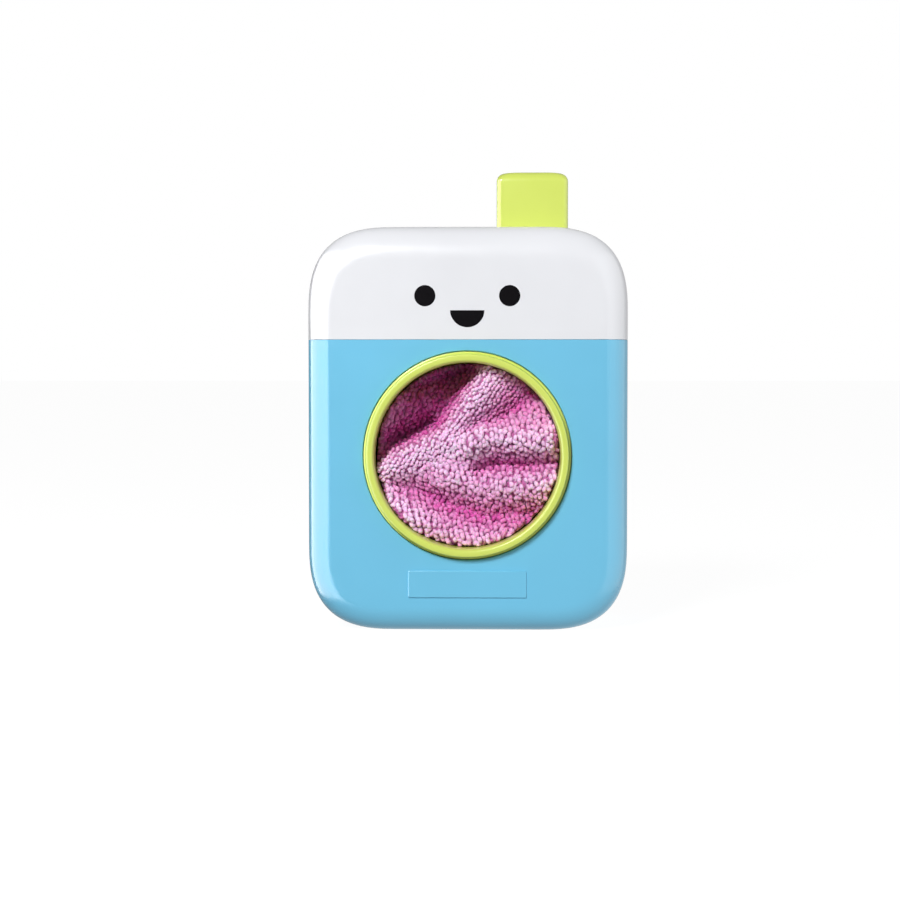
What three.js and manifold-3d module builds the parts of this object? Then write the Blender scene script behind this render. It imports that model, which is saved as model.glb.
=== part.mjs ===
// A toy washing machine in millimetres: X to the right, front towards -Y, +Z up, standing on z = 0.
// Pressing the lime tab drives a rack, a double gear and the gear on the drum, so the drum spins.

import * as THREE from "three";
import { mergeVertices } from "three/addons/utils/BufferGeometryUtils.js";
import Module from "manifold-3d";

const wasm = await Module();
wasm.setup();

// Clearances
const seatGap = 0.3; // between two pieces that lie against each other
const cutOverrun = 1; // how far a cutting tool runs past what it cuts
const mergeDistance = 0.0001;

// Window, and the margins of the casing round it
const windowRadius = 46.1;
const ringWidth = 5;
const sideMargin = 28.9; // from the ring to the side of the casing
const baseMargin = 36.9; // from the ring down to the base
const seamMargin = 6.4; // from the ring up to the joint between the shells and the cover
const coverHeight = 56.5;

// Casing: a box with large soft corners, split into two lower shells and a top cover
const casingWall = 2.6;
const rearSpace = 6.5; // between the gear cover and the rear wall
const cornerReach = 44; // how far each corner of the front outline runs along its two sides
const cornerPower = 2.75; // the corner is a superellipse
const circlePower = 2; // a superellipse of this power is a circle
const sideRounding = 12.5;
const topRounding = 17;
const baseRounding = 12.3;
const edgeRoundingDepth = 12.5; // how far the roundings of the front and back edges run into the depth
const frontShellDepth = 52;
const cornerSteps = 8;
const edgeSteps = 4;

// Lap joint between the shells and the cover
const lipHeight = 3.5;
const lipRoot = 3;
const lipThickness = 1.5;

// Screws
const screwShankRadius = 1.3;
const screwHeadRadius = 3;
const screwHeadHeight = 2;
const screwPointLength = 2;
const pilotRadius = 1.6;
const throughRadius = 1.9;
const screwSides = 10;

// Screw bosses and wells that close the two lower shells
const bossRadius = 5;
const bossRibThickness = 1.6;
const bossRibReach = 8;
const bossRibLength = 34;
const caseScrewLength = 14;
const wellRadius = 6.4;
const wellFloor = 2.4;
const wellWall = 1.8;
const wellSetBack = 4; // from the parting plane to the front of the well's floor
const lowerBossInset = 20; // from the side
const lowerBossHeight = 24;
const upperBossAside = 8; // of the gear plate's upper right ear
const upperBossAbove = 12; // that ear

// Drain holes in the base
const drainRadius = 2.5;
const drainSpacing = 15;
const drainCount = 5;
const drainSetBack = 26; // from the front face
const drainSides = 12;

// Drum ring, the lime rim round the window
const ringProud = 5; // in front of the casing's face
const ringInset = 2; // how far the bead reaches into the port, behind the casing's face
const ringPortGap = 0.9; // the open gap between the ring and the port
const ringOuterRounding = 0.8;
const ringInnerRounding = 1.3;
const ringDraft = 0.7; // by which the outer wall narrows towards the front
const ringCrown = 0.1;
const skirtWall = 1.8;
const skirtLength = 6;
const snapCount = 4;
const snapWidth = 8;
const snapThickness = 1.6;
const snapReach = 1.2;
const snapSetBack = 0.8; // from the skirt's end
const snapPhase = 0.5; // where the first lug stands, as a share of the angle between two
const drumSides = 56;
const roundingSteps = 3;

// Drum basket
const basketWall = 1.8;
const basketDepth = 42.1;
const basketFloor = 2.6;
const basketFillet = 4;
const basketInnerFillet = 2;
const portCollarWall = 1.8;
const portCollarLength = 6.4;
const lifterCount = 3;
const lifterHeight = 2.2;
const lifterEndGap = 3;
const lifterSides = 12;
const lifterPhase = 0.25; // where the first lifter stands, as a share of the angle between two
const hubRadius = 9;
const hubLength = 3.6;
const shaftRadius = 4;
const shaftFlat = 3; // from the axis to the flat that drives the gear
const floorHoleRadius = 3.2;
const floorHoleSides = 10;
const outerHoleCount = 12;
const innerHoleCount = 6;
const outerHoleCircle = 36;
const innerHoleCircle = 22;
const drumScrewLength = 11;
const drumScrewHeadRadius = 5.4;

// Bush that carries the drum's shaft
const bushWall = 2.2;
const bushFlange = 1;
const thrustGap = 0.4;
const shaftClearance = 0.3;
const bushSides = 24;

// Gears
const drumGearRadius = 8; // of its pitch circle
const pressureAngle = (25 * Math.PI) / 180;
const meshAngle = (32.2 * Math.PI) / 180; // from +X up to the double gear, seen from the drum's axis
const addendumShare = 0.9; // of the module
const dedendumShare = 1.15; // of the module
const backlashShare = 0.24; // of the module
const drumGearTeeth = 16;
const wheelTeeth = 36;
const pinionTeeth = 12;
const gearThickness = 5.2;
const gearEndGap = 0.5;
const pinionLength = 7.6;
const gearHubRadius = 4.2;
const idlerPinRadius = 2;
const pinSides = 24;

// Gear plate, which carries the drum and the gears
const plateThickness = 3;
const plateBossLength = 2.8;
const plateBossWall = 2.4;
const plateCornerRadius = 7;
const earLeft = 46; // ears, measured from the drum's axis
const earDown = 28;
const earUp = 30;
const earSpace = 8; // from the gear cover to the right ears
const plateScrewLength = 14;
const postRadius = 4.4;
const plateWindowInset = 9;
const plateWindowWidth = 16;

// Gear cover, a tub that closes the gears from behind, with the space that it leaves round them
const gearSpaceLeft = 2.8;
const gearSpaceRight = 5.3;
const gearSpaceUp = 2;
const rackFootSpace = 1.8;
const gearCoverWall = 1.8;
const gearCoverCorner = 4;
const gearPostRadius = 3.6;
const pinBossHeight = 1.2;
const gearScrewLength = 21;

// Tab with its stop flange, arm and rack, moulded in one piece
const tabWidth = 36.2;
const tabDepth = 28;
const tabFromRack = 4.4; // from the rack's pitch line to the middle of the tab
const tabProud = 29; // above the casing
const tabWall = 2.2;
const tabCeiling = 2.6;
const tabCornerRadius = 2.6;
const leastCornerRadius = 0.6;
const tabTopRounding = 5;
const tabSkirt = 7;
const pressTravel = 24;
const stopReach = 2.2;
const stopThickness = 2.6;
const stopPadDepth = 4.4; // from the top of the casing to the underside of the pad that stops the flange
const slideClearance = 0.4;
const sleeveWall = 1.8;
const sleeveMargin = 2.5;
const rackWidth = 6.2;
const rackBack = 5.85; // from the tooth roots to the back of the bar
const rackTeeth = 13;
const rackTeethBelow = 2; // below the pinion while the tab is up
const rackFoot = 1;
const rackPhase = 0.5; // of a pitch, so that a gap of the rack faces the pinion's tooth
const rackSideGap = 0.8;
const rackGuideWall = 2;
const tongueWidth = 12;
const tongueWeb = 2.4;

// Return spring between the gear plate's shelf and the tab's ceiling
const springRadius = 6;
const springWire = 1;
const springTurns = 9;
const springEndGap = 0.15; // in the closed turn at each end
const springStepsPerTurn = 8;
const springSides = 5;
const shelfAboveDrum = 11.4;
const shelfThickness = 2.6;
const shelfWidth = 24;
const shelfFront = 11; // in front of the middle of the casing
const gussetHeight = 9;
const gussetThickness = 2;
const springPostRadius = 4.9;
const springPostHeight = 8;

// Screws that hold the cover to two lugs of the back shell
const coverScrewInset = 32; // from the side
const coverScrewAboveSeam = 11.5;
const coverScrewLength = 8;
const coverWellRadius = 5.6;
const coverWellDepth = 4;
const coverWellFloor = 2;
const coverWellWall = 1.8;
const lugWidth = 11;
const lugThickness = 6.7;
const lugTop = 9;
const lugFoot = 9;

// Terry cloth that fills the drum
const clothClearance = 0.5; // inside the window
const clothFront = 11.5; // from the front of the casing back to the mean front of the cloth
const clothBackGap = 0.5;
const clothEdgeDepth = 4; // by which the front of the cloth rolls back at its edge
const clothEdgePower = 9;
const clothSideSetBack = 18; // from the mean front of the cloth to the front of its plain side
const clothBackRounding = 8;
const clothRings = 16;
const clothSectors = 44;
const clothSideSteps = 3;
const clothBackRings = 4;
// Each fold: the line that it follows from the middle of the window, how high it stands towards the viewer,
// and how wide it is to the left and to the right of that line, all as shares of the cloth's radius.
const foldShares = [
  {
    line: [[-1.15, -0.1], [-0.5, 0.29], [-0.32, 0.4], [-0.19, 0.64], [0.03, 0.94], [0.12, 1.15]],
    high: -0.24, left: 0.34, right: 0.15,
  },
  {
    line: [[-0.75, 0], [-0.3, 0.2], [-0.1, 0.42], [0.06, 0.68], [0.22, 1.1]],
    high: 0.13, left: 0.16, right: 0.28,
  },
  {
    line: [[0.05, 0.28], [0.21, 0.35], [0.37, 0.4], [0.6, 0.57], [1.1, 0.85]],
    high: -0.17, left: 0.24, right: 0.14,
  },
  {
    line: [[0.04, 0.14], [0.2, 0.22], [0.4, 0.2], [0.6, 0.16], [1.1, 0.18]],
    high: 0.15, left: 0.15, right: 0.22,
  },
  {
    line: [[0.1, -0.17], [0.32, -0.1], [0.84, -0.1], [1.15, -0.06]],
    high: -0.15, left: 0.15, right: 0.15,
  },
  {
    line: [[-0.2, -0.24], [0.3, -0.32], [0.7, -0.32], [1.1, -0.24]],
    high: 0.1, left: 0.18, right: 0.2,
  },
  {
    line: [[-1.15, -0.3], [-0.6, -0.36], [-0.2, -0.55], [0.2, -0.68], [1, -0.62]],
    high: -0.16, left: 0.16, right: 0.22,
  },
  {
    line: [[-1, -0.55], [-0.5, -0.75], [0, -0.92], [0.5, -1]],
    high: 0.1, left: 0.2, right: 0.2,
  },
];
const foldPower = 2; // how sharply a fold's ridge or crease turns
const foldBlendShare = 0.08; // of the cloth's radius, across which a fold's two widths meet

// Places that follow from the sizes
const ringOuterRadius = windowRadius + ringWidth;
const clothRadius = windowRadius - clothClearance;
const casingWidth = 2 * (ringOuterRadius + sideMargin);
const drumHeight = baseMargin + ringOuterRadius; // of the drum's axis
const seamHeight = drumHeight + ringOuterRadius + seamMargin;
const casingHeight = seamHeight + coverHeight;
const drumStack = ringInset + seatGap + basketDepth + basketFloor + hubLength + thrustGap;
const plateStack = bushFlange + seatGap + plateThickness + plateBossLength;
const gearStack = 2 * gearEndGap + gearThickness + pinionLength + pinBossHeight + gearCoverWall;
const casingDepth = drumStack + plateStack + gearStack + rearSpace + casingWall;
const frontFace = -casingDepth / 2;
const backFace = casingDepth / 2;
const insideFront = frontFace + casingWall;
const frontRoot = frontFace + casingWall / 2; // inside the front wall, where inner features are rooted
const backRoot = backFace - casingWall / 2; // inside the rear wall, where inner features are rooted
const partingPlane = frontFace + frontShellDepth;
const wellFront = partingPlane + wellSetBack;
const wellSeat = wellFront + wellFloor;

const ringFront = frontFace - ringProud;
const ringBack = frontFace + ringInset;
const skirtOuterRadius = windowRadius + skirtWall;
const skirtEnd = ringBack + skirtLength;
const basketInnerRadius = skirtOuterRadius + seatGap;
const basketOuterRadius = basketInnerRadius + basketWall;
const portRadius = ringOuterRadius + ringPortGap;
const basketMouth = ringBack + seatGap;
const floorFront = basketMouth + basketDepth;
const floorBack = floorFront + basketFloor;
const hubBack = floorBack + hubLength;
const bushFront = hubBack + thrustGap;
const plateFront = bushFront + bushFlange + seatGap;
const plateBack = plateFront + plateThickness;
const plateBossBack = plateBack + plateBossLength;
const gearFront = plateBossBack + gearEndGap;
const gearBack = gearFront + gearThickness;
const shaftEnd = gearBack + seatGap;
const bushBore = shaftRadius + shaftClearance;
const bushOuterRadius = bushBore + bushWall;

const gearModule = (2 * drumGearRadius) / drumGearTeeth;
const wheelRadius = (wheelTeeth * gearModule) / 2;
const pinionRadius = (pinionTeeth * gearModule) / 2;
const addendum = addendumShare * gearModule;
const dedendum = dedendumShare * gearModule;
const backlash = backlashShare * gearModule;
const toothPitch = Math.PI * gearModule;
const idlerX = (drumGearRadius + wheelRadius) * Math.cos(meshAngle);
const idlerZ = drumHeight + (drumGearRadius + wheelRadius) * Math.sin(meshAngle);
const pinionBack = gearBack + pinionLength;
const gearCoverFront = pinionBack + pinBossHeight + gearEndGap;
const gearCoverBack = gearCoverFront + gearCoverWall;

const rackPitchX = idlerX + pinionRadius;
const rackRootX = rackPitchX + dedendum;
const rackBackX = rackRootX + rackBack;
const gearCoverLeft = -drumGearRadius - addendum - gearSpaceLeft - gearCoverWall;
const gearCoverRight = idlerX + wheelRadius + addendum + gearSpaceRight + gearCoverWall;
const gearCoverHigh = idlerZ + wheelRadius + addendum + gearSpaceUp + gearCoverWall;
const armX = (rackRootX + rackBackX) / 2;
const rackFront = gearBack + rackSideGap;
const rackRear = rackFront + rackWidth;
const rackLow = idlerZ - rackTeethBelow * toothPitch - rackFoot;
const gearCoverLow = rackLow - pressTravel - rackFootSpace - gearCoverWall;
const tabCentreX = rackPitchX + tabFromRack;
const tabTop = casingHeight + tabProud;
const stopPadLow = casingHeight - stopPadDepth;
const stopTop = stopPadLow - seatGap;
const stopLow = stopTop - stopThickness;
const tabLow = stopLow - tabSkirt;
const ceilingHeight = tabTop - tabCeiling;
const sleeveLow = stopLow - pressTravel - sleeveMargin;
const shelfHigh = drumHeight + basketOuterRadius + shelfAboveDrum + shelfThickness;
const coverScrewZ = seamHeight + coverScrewAboveSeam;
const coverWellFront = backFace - coverWellDepth - coverWellFloor;

// Materials
const plastic = (color) => new THREE.MeshStandardMaterial({ color, roughness: 0.28, metalness: 0 });
const white = plastic(0xf1f3f5);
const blue = plastic(0x78c3e6);
const lime = plastic(0xdde86c);
const natural = new THREE.MeshStandardMaterial({ color: 0xe9e6dc, roughness: 0.5, metalness: 0 });
const steel = new THREE.MeshStandardMaterial({ color: 0xb9bcc0, roughness: 0.3, metalness: 1 });
const terry = new THREE.MeshStandardMaterial({ color: 0xa95a94, roughness: 1, metalness: 0 });

// A closed geometry as a solid that can be joined and cut, with its faces turned out.
function solid(geometry) {
  const bare = geometry.index ? geometry.toNonIndexed() : geometry.clone();
  bare.deleteAttribute("normal");
  bare.deleteAttribute("uv");
  const merged = mergeVertices(bare, mergeDistance);
  const points = merged.attributes.position;
  const corners = Array.from(merged.index.array);
  const vertex = (i) => new THREE.Vector3().fromBufferAttribute(points, corners[i]);
  const triangles = [];
  let volume = 0;
  for (let i = 0; i < corners.length; i += 3) {
    const [a, b, c] = corners.slice(i, i + 3);
    if (a === b || b === c || c === a) continue;
    triangles.push(a, b, c);
    volume += vertex(i).dot(vertex(i + 1).cross(vertex(i + 2)));
  }
  if (volume < 0) triangles.reverse();
  const mesh = { numProp: 3, vertProperties: points.array, triVerts: new Uint32Array(triangles) };
  return new wasm.Manifold(new wasm.Mesh(mesh));
}

// A solid as a named mesh.
function piece(name, made, material, parent) {
  const { vertProperties, triVerts } = made.getMesh();
  const geometry = new THREE.BufferGeometry();
  geometry.setAttribute("position", new THREE.BufferAttribute(vertProperties, 3));
  geometry.setIndex(new THREE.BufferAttribute(triVerts, 1));
  geometry.computeVertexNormals();
  const mesh = new THREE.Mesh(geometry, material);
  mesh.name = name;
  parent.add(mesh);
  return mesh;
}

const joined = (solids) => solids.reduce((sum, next) => sum.add(next));

// A box between two corners.
function block(left, right, front, back, low, high) {
  const box = new THREE.BoxGeometry(right - left, back - front, high - low);
  return solid(box.translate((left + right) / 2, (front + back) / 2, (low + high) / 2));
}

// A round bar along the depth.
function barY(radius, front, back, x, z, sides) {
  const bar = new THREE.CylinderGeometry(radius, radius, back - front, sides);
  return solid(bar.translate(x, (front + back) / 2, z));
}

// An upright round bar.
function barZ(radius, low, high, x, y, sides) {
  const bar = new THREE.CylinderGeometry(radius, radius, high - low, sides);
  return solid(bar.rotateX(Math.PI / 2).translate(x, y, (low + high) / 2));
}

// An outline in x and z, drawn as seen from the front, made into a plate of some depth.
function plateOf(shape, front, back) {
  const options = { depth: back - front, bevelEnabled: false, curveSegments: roundingSteps };
  return solid(new THREE.ExtrudeGeometry(shape, options).rotateX(Math.PI / 2).translate(0, back, 0));
}

// A profile of [radius, y] points turned round the Y axis.
function turned(profile, sides) {
  return new THREE.LatheGeometry(profile.map(([radius, y]) => new THREE.Vector2(radius, y)), sides);
}

// The points of a rectangle whose corners are quarters of a superellipse, counterclockwise.
function softRectangle(left, right, low, high, reach, power, steps) {
  const centres = [
    [right - reach, low + reach],
    [right - reach, high - reach],
    [left + reach, high - reach],
    [left + reach, low + reach],
  ];
  return centres.flatMap(([x, y], quarter) => {
    const turn = ((quarter - 1) * Math.PI) / 2;
    return Array.from({ length: steps + 1 }, (_, i) => {
      const angle = ((i / steps) * Math.PI) / 2;
      const along = reach * Math.cos(angle) ** (2 / power);
      const across = reach * Math.max(Math.sin(angle), 0) ** (2 / power);
      return new THREE.Vector2(
        x + along * Math.cos(turn) - across * Math.sin(turn),
        y + along * Math.sin(turn) + across * Math.cos(turn),
      );
    });
  });
}

// A closed skin through rings of points, with a flat fan over the first and the last ring.
function loft(rings) {
  const size = rings[0].length;
  const middle = (ring) => ring.reduce((sum, p) => sum.add(p), new THREE.Vector3()).divideScalar(size);
  const points = [...rings.flat(), middle(rings[0]), middle(rings.at(-1))];
  const first = rings.length * size;
  const index = [];
  for (let i = 0; i < size; i++) {
    const next = (i + 1) % size;
    for (let k = 0; k + 1 < rings.length; k++) {
      const low = k * size;
      const high = low + size;
      index.push(low + i, low + next, high + next, low + i, high + next, high + i);
    }
    const last = first - size;
    index.push(first, next, i, first + 1, last + i, last + next);
  }
  const geometry = new THREE.BufferGeometry().setFromPoints(points);
  return solid(geometry.setIndex(index));
}

// The casing's rounded box, taken in by some distance on every side.
function casingBody(inset) {
  const halfWidth = casingWidth / 2 - inset;
  const halfDepth = casingDepth / 2 - inset;
  const side = sideRounding - inset;
  const top = topRounding - inset;
  const base = baseRounding - inset;
  const deep = edgeRoundingDepth - inset;
  const ring = (angle, facing) => {
    const share = 1 - Math.sin(angle);
    const y = facing * (halfDepth - deep * (1 - Math.cos(angle)));
    const width = halfWidth - share * side;
    const low = inset + share * base;
    const high = casingHeight - inset - share * top;
    const reach = cornerReach - inset - (share * (side + top)) / 2;
    const outline = softRectangle(-width, width, low, high, reach, cornerPower, cornerSteps);
    return outline.map((p) => new THREE.Vector3(p.x, y, p.y));
  };
  const angles = Array.from({ length: edgeSteps + 1 }, (_, i) => ((i / edgeSteps) * Math.PI) / 2);
  return loft([...angles.map((a) => ring(a, 1)), ...angles.reverse().map((a) => ring(a, -1))]);
}

// A space that holds the whole casing, cut off at the given faces.
function region({ front = frontFace - cutOverrun, back = backFace + cutOverrun, low = -cutOverrun, high }) {
  const side = casingWidth / 2 + cutOverrun;
  return block(-side, side, front, back, low, high ?? casingHeight + cutOverrun);
}

const casingSkin = casingBody(0).subtract(casingBody(casingWall));
const lapSkin = casingBody(casingWall + seatGap).subtract(casingBody(casingWall + seatGap + lipThickness));
const lapRoot = casingBody(casingWall / 2).subtract(casingBody(casingWall + seatGap + lipThickness));
const lowerSeam = seamHeight - seatGap / 2;

// The lip that stands inside the cover, on the shell that fills the given part of the depth.
function coverLip(front, back) {
  const low = seamHeight - lipRoot;
  const root = lapRoot.intersect(region({ front, back, low, high: lowerSeam }));
  const lip = lapSkin.intersect(region({ front, back, low, high: seamHeight + lipHeight }));
  return root.add(lip);
}

const earRight = gearCoverRight + earSpace;
const lowerBossX = casingWidth / 2 - lowerBossInset;
const upperBossX = earRight + upperBossAside;
const upperBossZ = drumHeight + earUp + upperBossAbove;
const bossPlaces = [
  [-lowerBossX, lowerBossHeight],
  [lowerBossX, lowerBossHeight],
  [-upperBossX, upperBossZ],
  [upperBossX, upperBossZ],
];

// Front shell: the face with the round port, the base, and the four bosses that take the case screws.
function frontShell() {
  const edge = partingPlane - seatGap / 2;
  const skin = casingSkin.intersect(region({ back: edge, high: lowerSeam }));
  const tongueTop = seamHeight - lipRoot - seatGap;
  const tongueStart = partingPlane - lipRoot;
  const tongueEnd = partingPlane + lipHeight;
  const tongueRoot = lapRoot.intersect(region({ front: tongueStart, back: edge, high: tongueTop }));
  const tongue = lapSkin.intersect(region({ front: tongueStart, back: tongueEnd, high: tongueTop }));
  const collarBack = insideFront + portCollarLength;
  const collar = barY(portRadius + portCollarWall, frontRoot, collarBack, 0, drumHeight, drumSides);
  const port = barY(portRadius, frontFace - cutOverrun, collarBack + cutOverrun, 0, drumHeight, drumSides);
  const bossBack = wellFront - seatGap;
  const ribBack = insideFront + bossRibLength;
  const bosses = bossPlaces.flatMap(([x, z]) => {
    const halfRib = bossRibThickness / 2;
    return [
      barY(bossRadius, frontRoot, bossBack, x, z, bushSides),
      block(x - bossRibReach, x + bossRibReach, frontRoot, ribBack, z - halfRib, z + halfRib),
      block(x - halfRib, x + halfRib, frontRoot, ribBack, z - bossRibReach, z + bossRibReach),
    ];
  });
  const inner = joined([collar, ...bosses]).intersect(casingBody(casingWall / 2));
  const pilots = bossPlaces.map(([x, z]) =>
    barY(pilotRadius, bossBack - caseScrewLength, bossBack + cutOverrun, x, z, screwSides));
  const drains = Array.from({ length: drainCount }, (_, i) => {
    const x = (i - (drainCount - 1) / 2) * drainSpacing;
    return barZ(drainRadius, -cutOverrun, casingWall + cutOverrun, x, frontFace + drainSetBack, drainSides);
  });
  const walls = joined([skin, tongueRoot, tongue, coverLip(undefined, edge), inner]);
  return walls.subtract(joined([port, ...pilots, ...drains]));
}

const earPlaces = [
  [-earLeft, drumHeight - earDown],
  [-earLeft, drumHeight + earDown],
  [earRight, drumHeight - earDown],
  [earRight, drumHeight + earUp],
];

const coverScrewX = casingWidth / 2 - coverScrewInset;
const coverScrewXs = [-coverScrewX, coverScrewX];

// Back shell: the rear wall with four deep screw wells, the posts of the gear plate and the cover's two lugs.
function backShell() {
  const edge = partingPlane + seatGap / 2;
  const skin = casingSkin.intersect(region({ front: edge, high: lowerSeam }));
  const wells = bossPlaces.map(([x, z]) => barY(wellRadius, wellFront, backRoot, x, z, bushSides));
  const posts = earPlaces.map(([x, z]) => barY(postRadius, plateBack + seatGap, backRoot, x, z, bushSides));
  const lugBack = coverWellFront - seatGap;
  const lugFront = lugBack - lugThickness;
  const lugLow = seamHeight - lugFoot;
  const lugs = coverScrewXs.flatMap((x) => {
    const [left, right] = [x - lugWidth / 2, x + lugWidth / 2];
    return [
      block(left, right, lugFront, lugBack, lugLow, coverScrewZ + lugTop),
      block(left, right, lugFront, backRoot, lugLow, lowerSeam - lipRoot),
    ];
  });
  const inner = joined([...wells, ...posts, ...lugs]).intersect(casingBody(casingWall / 2));
  const headRadius = wellRadius - wellWall;
  const headSpaces = bossPlaces.map(([x, z]) =>
    barY(headRadius, wellSeat, backFace + cutOverrun, x, z, bushSides));
  const throughs = bossPlaces.map(([x, z]) =>
    barY(throughRadius, wellFront - cutOverrun, wellSeat + cutOverrun, x, z, screwSides));
  const postPilots = earPlaces.map(([x, z]) =>
    barY(pilotRadius, plateBack, plateBack + plateScrewLength, x, z, screwSides));
  const lugPilots = coverScrewXs.map((x) =>
    barY(pilotRadius, lugFront - cutOverrun, lugBack + cutOverrun, x, coverScrewZ, screwSides));
  const cuts = joined([...headSpaces, ...throughs, ...postPilots, ...lugPilots]);
  return joined([skin, coverLip(edge, undefined), inner]).subtract(cuts);
}

// The tab's footprint, grown by some distance, from one height to another.
function tabColumn(grow, low, high) {
  const halfWidth = tabWidth / 2 + grow;
  const halfDepth = tabDepth / 2 + grow;
  const reach = Math.max(tabCornerRadius + grow, leastCornerRadius);
  const [left, right] = [tabCentreX - halfWidth, tabCentreX + halfWidth];
  const outline = softRectangle(left, right, -halfDepth, halfDepth, reach, circlePower, roundingSteps);
  return loft([low, high].map((z) => outline.map((p) => new THREE.Vector3(p.x, p.y, z))));
}

// Top cover: the cap over both shells, with the slot and the guide sleeve of the tab and two screw wells.
function topCover() {
  const skin = casingSkin.intersect(region({ low: seamHeight + seatGap / 2 }));
  const sleeveInside = stopReach + slideClearance;
  const sleeve = tabColumn(sleeveInside + sleeveWall, sleeveLow, casingHeight);
  const wells = coverScrewXs.map((x) =>
    barY(coverWellRadius, coverWellFront, backRoot, x, coverScrewZ, bushSides));
  const inner = joined([sleeve, ...wells]).intersect(casingBody(casingWall / 2));
  const cutLow = sleeveLow - cutOverrun;
  const slot = tabColumn(slideClearance, cutLow, casingHeight + cutOverrun);
  const bore = tabColumn(sleeveInside, cutLow, stopPadLow);
  const tongueHalf = tongueWidth / 2 + slideClearance;
  const armBack = rackRear + cutOverrun;
  const armSlot = block(armX - tongueHalf, armX + tongueHalf, 0, armBack, cutLow, stopPadLow);
  const headRadius = coverWellRadius - coverWellWall;
  const headSeat = coverWellFront + coverWellFloor;
  const wellCuts = coverScrewXs.flatMap((x) => [
    barY(headRadius, headSeat, backFace + cutOverrun, x, coverScrewZ, bushSides),
    barY(throughRadius, coverWellFront - cutOverrun, backFace, x, coverScrewZ, screwSides),
  ]);
  return joined([skin, inner]).subtract(joined([slot, bore, armSlot, ...wellCuts]));
}

// A screw that points along -Y, with the underside of its head at y = 0.
function screw(length, headRadius = screwHeadRadius) {
  const profile = [
    [0, -length],
    [screwShankRadius, screwPointLength - length],
    [screwShankRadius, 0],
    [headRadius, 0],
    [headRadius, screwHeadHeight / 2],
    [headRadius / 2, screwHeadHeight],
    [0, screwHeadHeight],
  ];
  return solid(turned(profile, screwSides));
}

// A run of points along a quarter circle in [radius, y], from one angle to another.
function quarter(centreRadius, centreY, size, from, to) {
  return Array.from({ length: roundingSteps + 1 }, (_, i) => {
    const angle = from + ((to - from) * i) / roundingSteps;
    return [centreRadius + size * Math.cos(angle), centreY + size * Math.sin(angle)];
  });
}

// Drum ring: a rounded bead round the window, with a skirt that snaps into the basket.
function drumRing() {
  const innerCentre = windowRadius + ringInnerRounding;
  const outerCentre = ringOuterRadius - ringDraft - ringOuterRounding;
  const shoulder = ringFront + ringCrown;
  const forward = (3 * Math.PI) / 2;
  const profile = [
    [windowRadius, skirtEnd],
    ...quarter(innerCentre, shoulder + ringInnerRounding, ringInnerRounding, Math.PI, forward),
    [(innerCentre + outerCentre) / 2, ringFront],
    ...quarter(outerCentre, shoulder + ringOuterRounding, ringOuterRounding, forward, 2 * Math.PI),
    [ringOuterRadius, ringBack],
    [skirtOuterRadius, ringBack],
    [skirtOuterRadius, skirtEnd],
    [windowRadius, skirtEnd],
  ];
  const lugInner = windowRadius + skirtWall / 2;
  const lugReach = skirtOuterRadius + snapReach - lugInner;
  const lugs = Array.from({ length: snapCount }, (_, i) => {
    const lug = new THREE.BoxGeometry(lugReach, snapThickness, snapWidth);
    lug.translate(lugInner + lugReach / 2, skirtEnd - snapSetBack - snapThickness / 2, 0);
    return solid(lug.rotateY(((i + snapPhase) * 2 * Math.PI) / snapCount));
  });
  return joined([solid(turned(profile, drumSides)), ...lugs]);
}

// Drum basket: the cup behind the ring, with three lifters, holes in its floor, and the shaft.
function drumBasket() {
  const upright = Math.PI / 2;
  const innerCentre = basketInnerRadius - basketInnerFillet;
  const profile = [
    [0, shaftEnd],
    [shaftRadius, shaftEnd],
    [shaftRadius, hubBack],
    [hubRadius, hubBack],
    [hubRadius, floorBack],
    ...quarter(basketOuterRadius - basketFillet, floorBack - basketFillet, basketFillet, upright, 0),
    [basketOuterRadius, basketMouth],
    [basketInnerRadius, basketMouth],
    ...quarter(innerCentre, floorFront - basketInnerFillet, basketInnerFillet, 0, upright),
    [0, floorFront],
  ];
  const cup = solid(turned(profile, drumSides));
  const rim = barY(basketInnerRadius + basketWall / 2, skirtEnd, floorBack, 0, 0, drumSides);
  const lifters = Array.from({ length: lifterCount }, (_, i) => {
    const angle = ((i + lifterPhase) * 2 * Math.PI) / lifterCount;
    const [x, z] = [basketInnerRadius * Math.cos(angle), basketInnerRadius * Math.sin(angle)];
    const bead = barY(lifterHeight, skirtEnd + lifterEndGap, floorFront + basketFloor / 2, x, z, lifterSides);
    return bead.intersect(rim);
  });
  const holesOn = (circle, count) =>
    Array.from({ length: count }, (_, i) => {
      const angle = (i * 2 * Math.PI) / count;
      const [x, z] = [circle * Math.cos(angle), circle * Math.sin(angle)];
      return barY(floorHoleRadius, floorFront - cutOverrun, floorBack + cutOverrun, x, z, floorHoleSides);
    });
  const slotThickness = snapThickness + 2 * seatGap;
  const slotWidth = snapWidth + 2 * seatGap;
  const snapSlots = Array.from({ length: snapCount }, (_, i) => {
    const slot = new THREE.BoxGeometry(basketWall + 2 * cutOverrun, slotThickness, slotWidth);
    slot.translate(basketInnerRadius + basketWall / 2, skirtEnd - snapSetBack - snapThickness / 2, 0);
    return solid(slot.rotateY(((i + snapPhase) * 2 * Math.PI) / snapCount));
  });
  const cutBack = shaftEnd + cutOverrun;
  const flatTop = shaftRadius + cutOverrun;
  const flat = block(-shaftRadius, shaftRadius, plateBossBack, cutBack, shaftFlat, flatTop);
  const pilot = barY(pilotRadius, shaftEnd - drumScrewLength, cutBack, 0, 0, screwSides);
  const holes = [...holesOn(outerHoleCircle, outerHoleCount), ...holesOn(innerHoleCircle, innerHoleCount)];
  return joined([cup, ...lifters]).subtract(joined([...holes, ...snapSlots, flat, pilot]));
}

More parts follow.
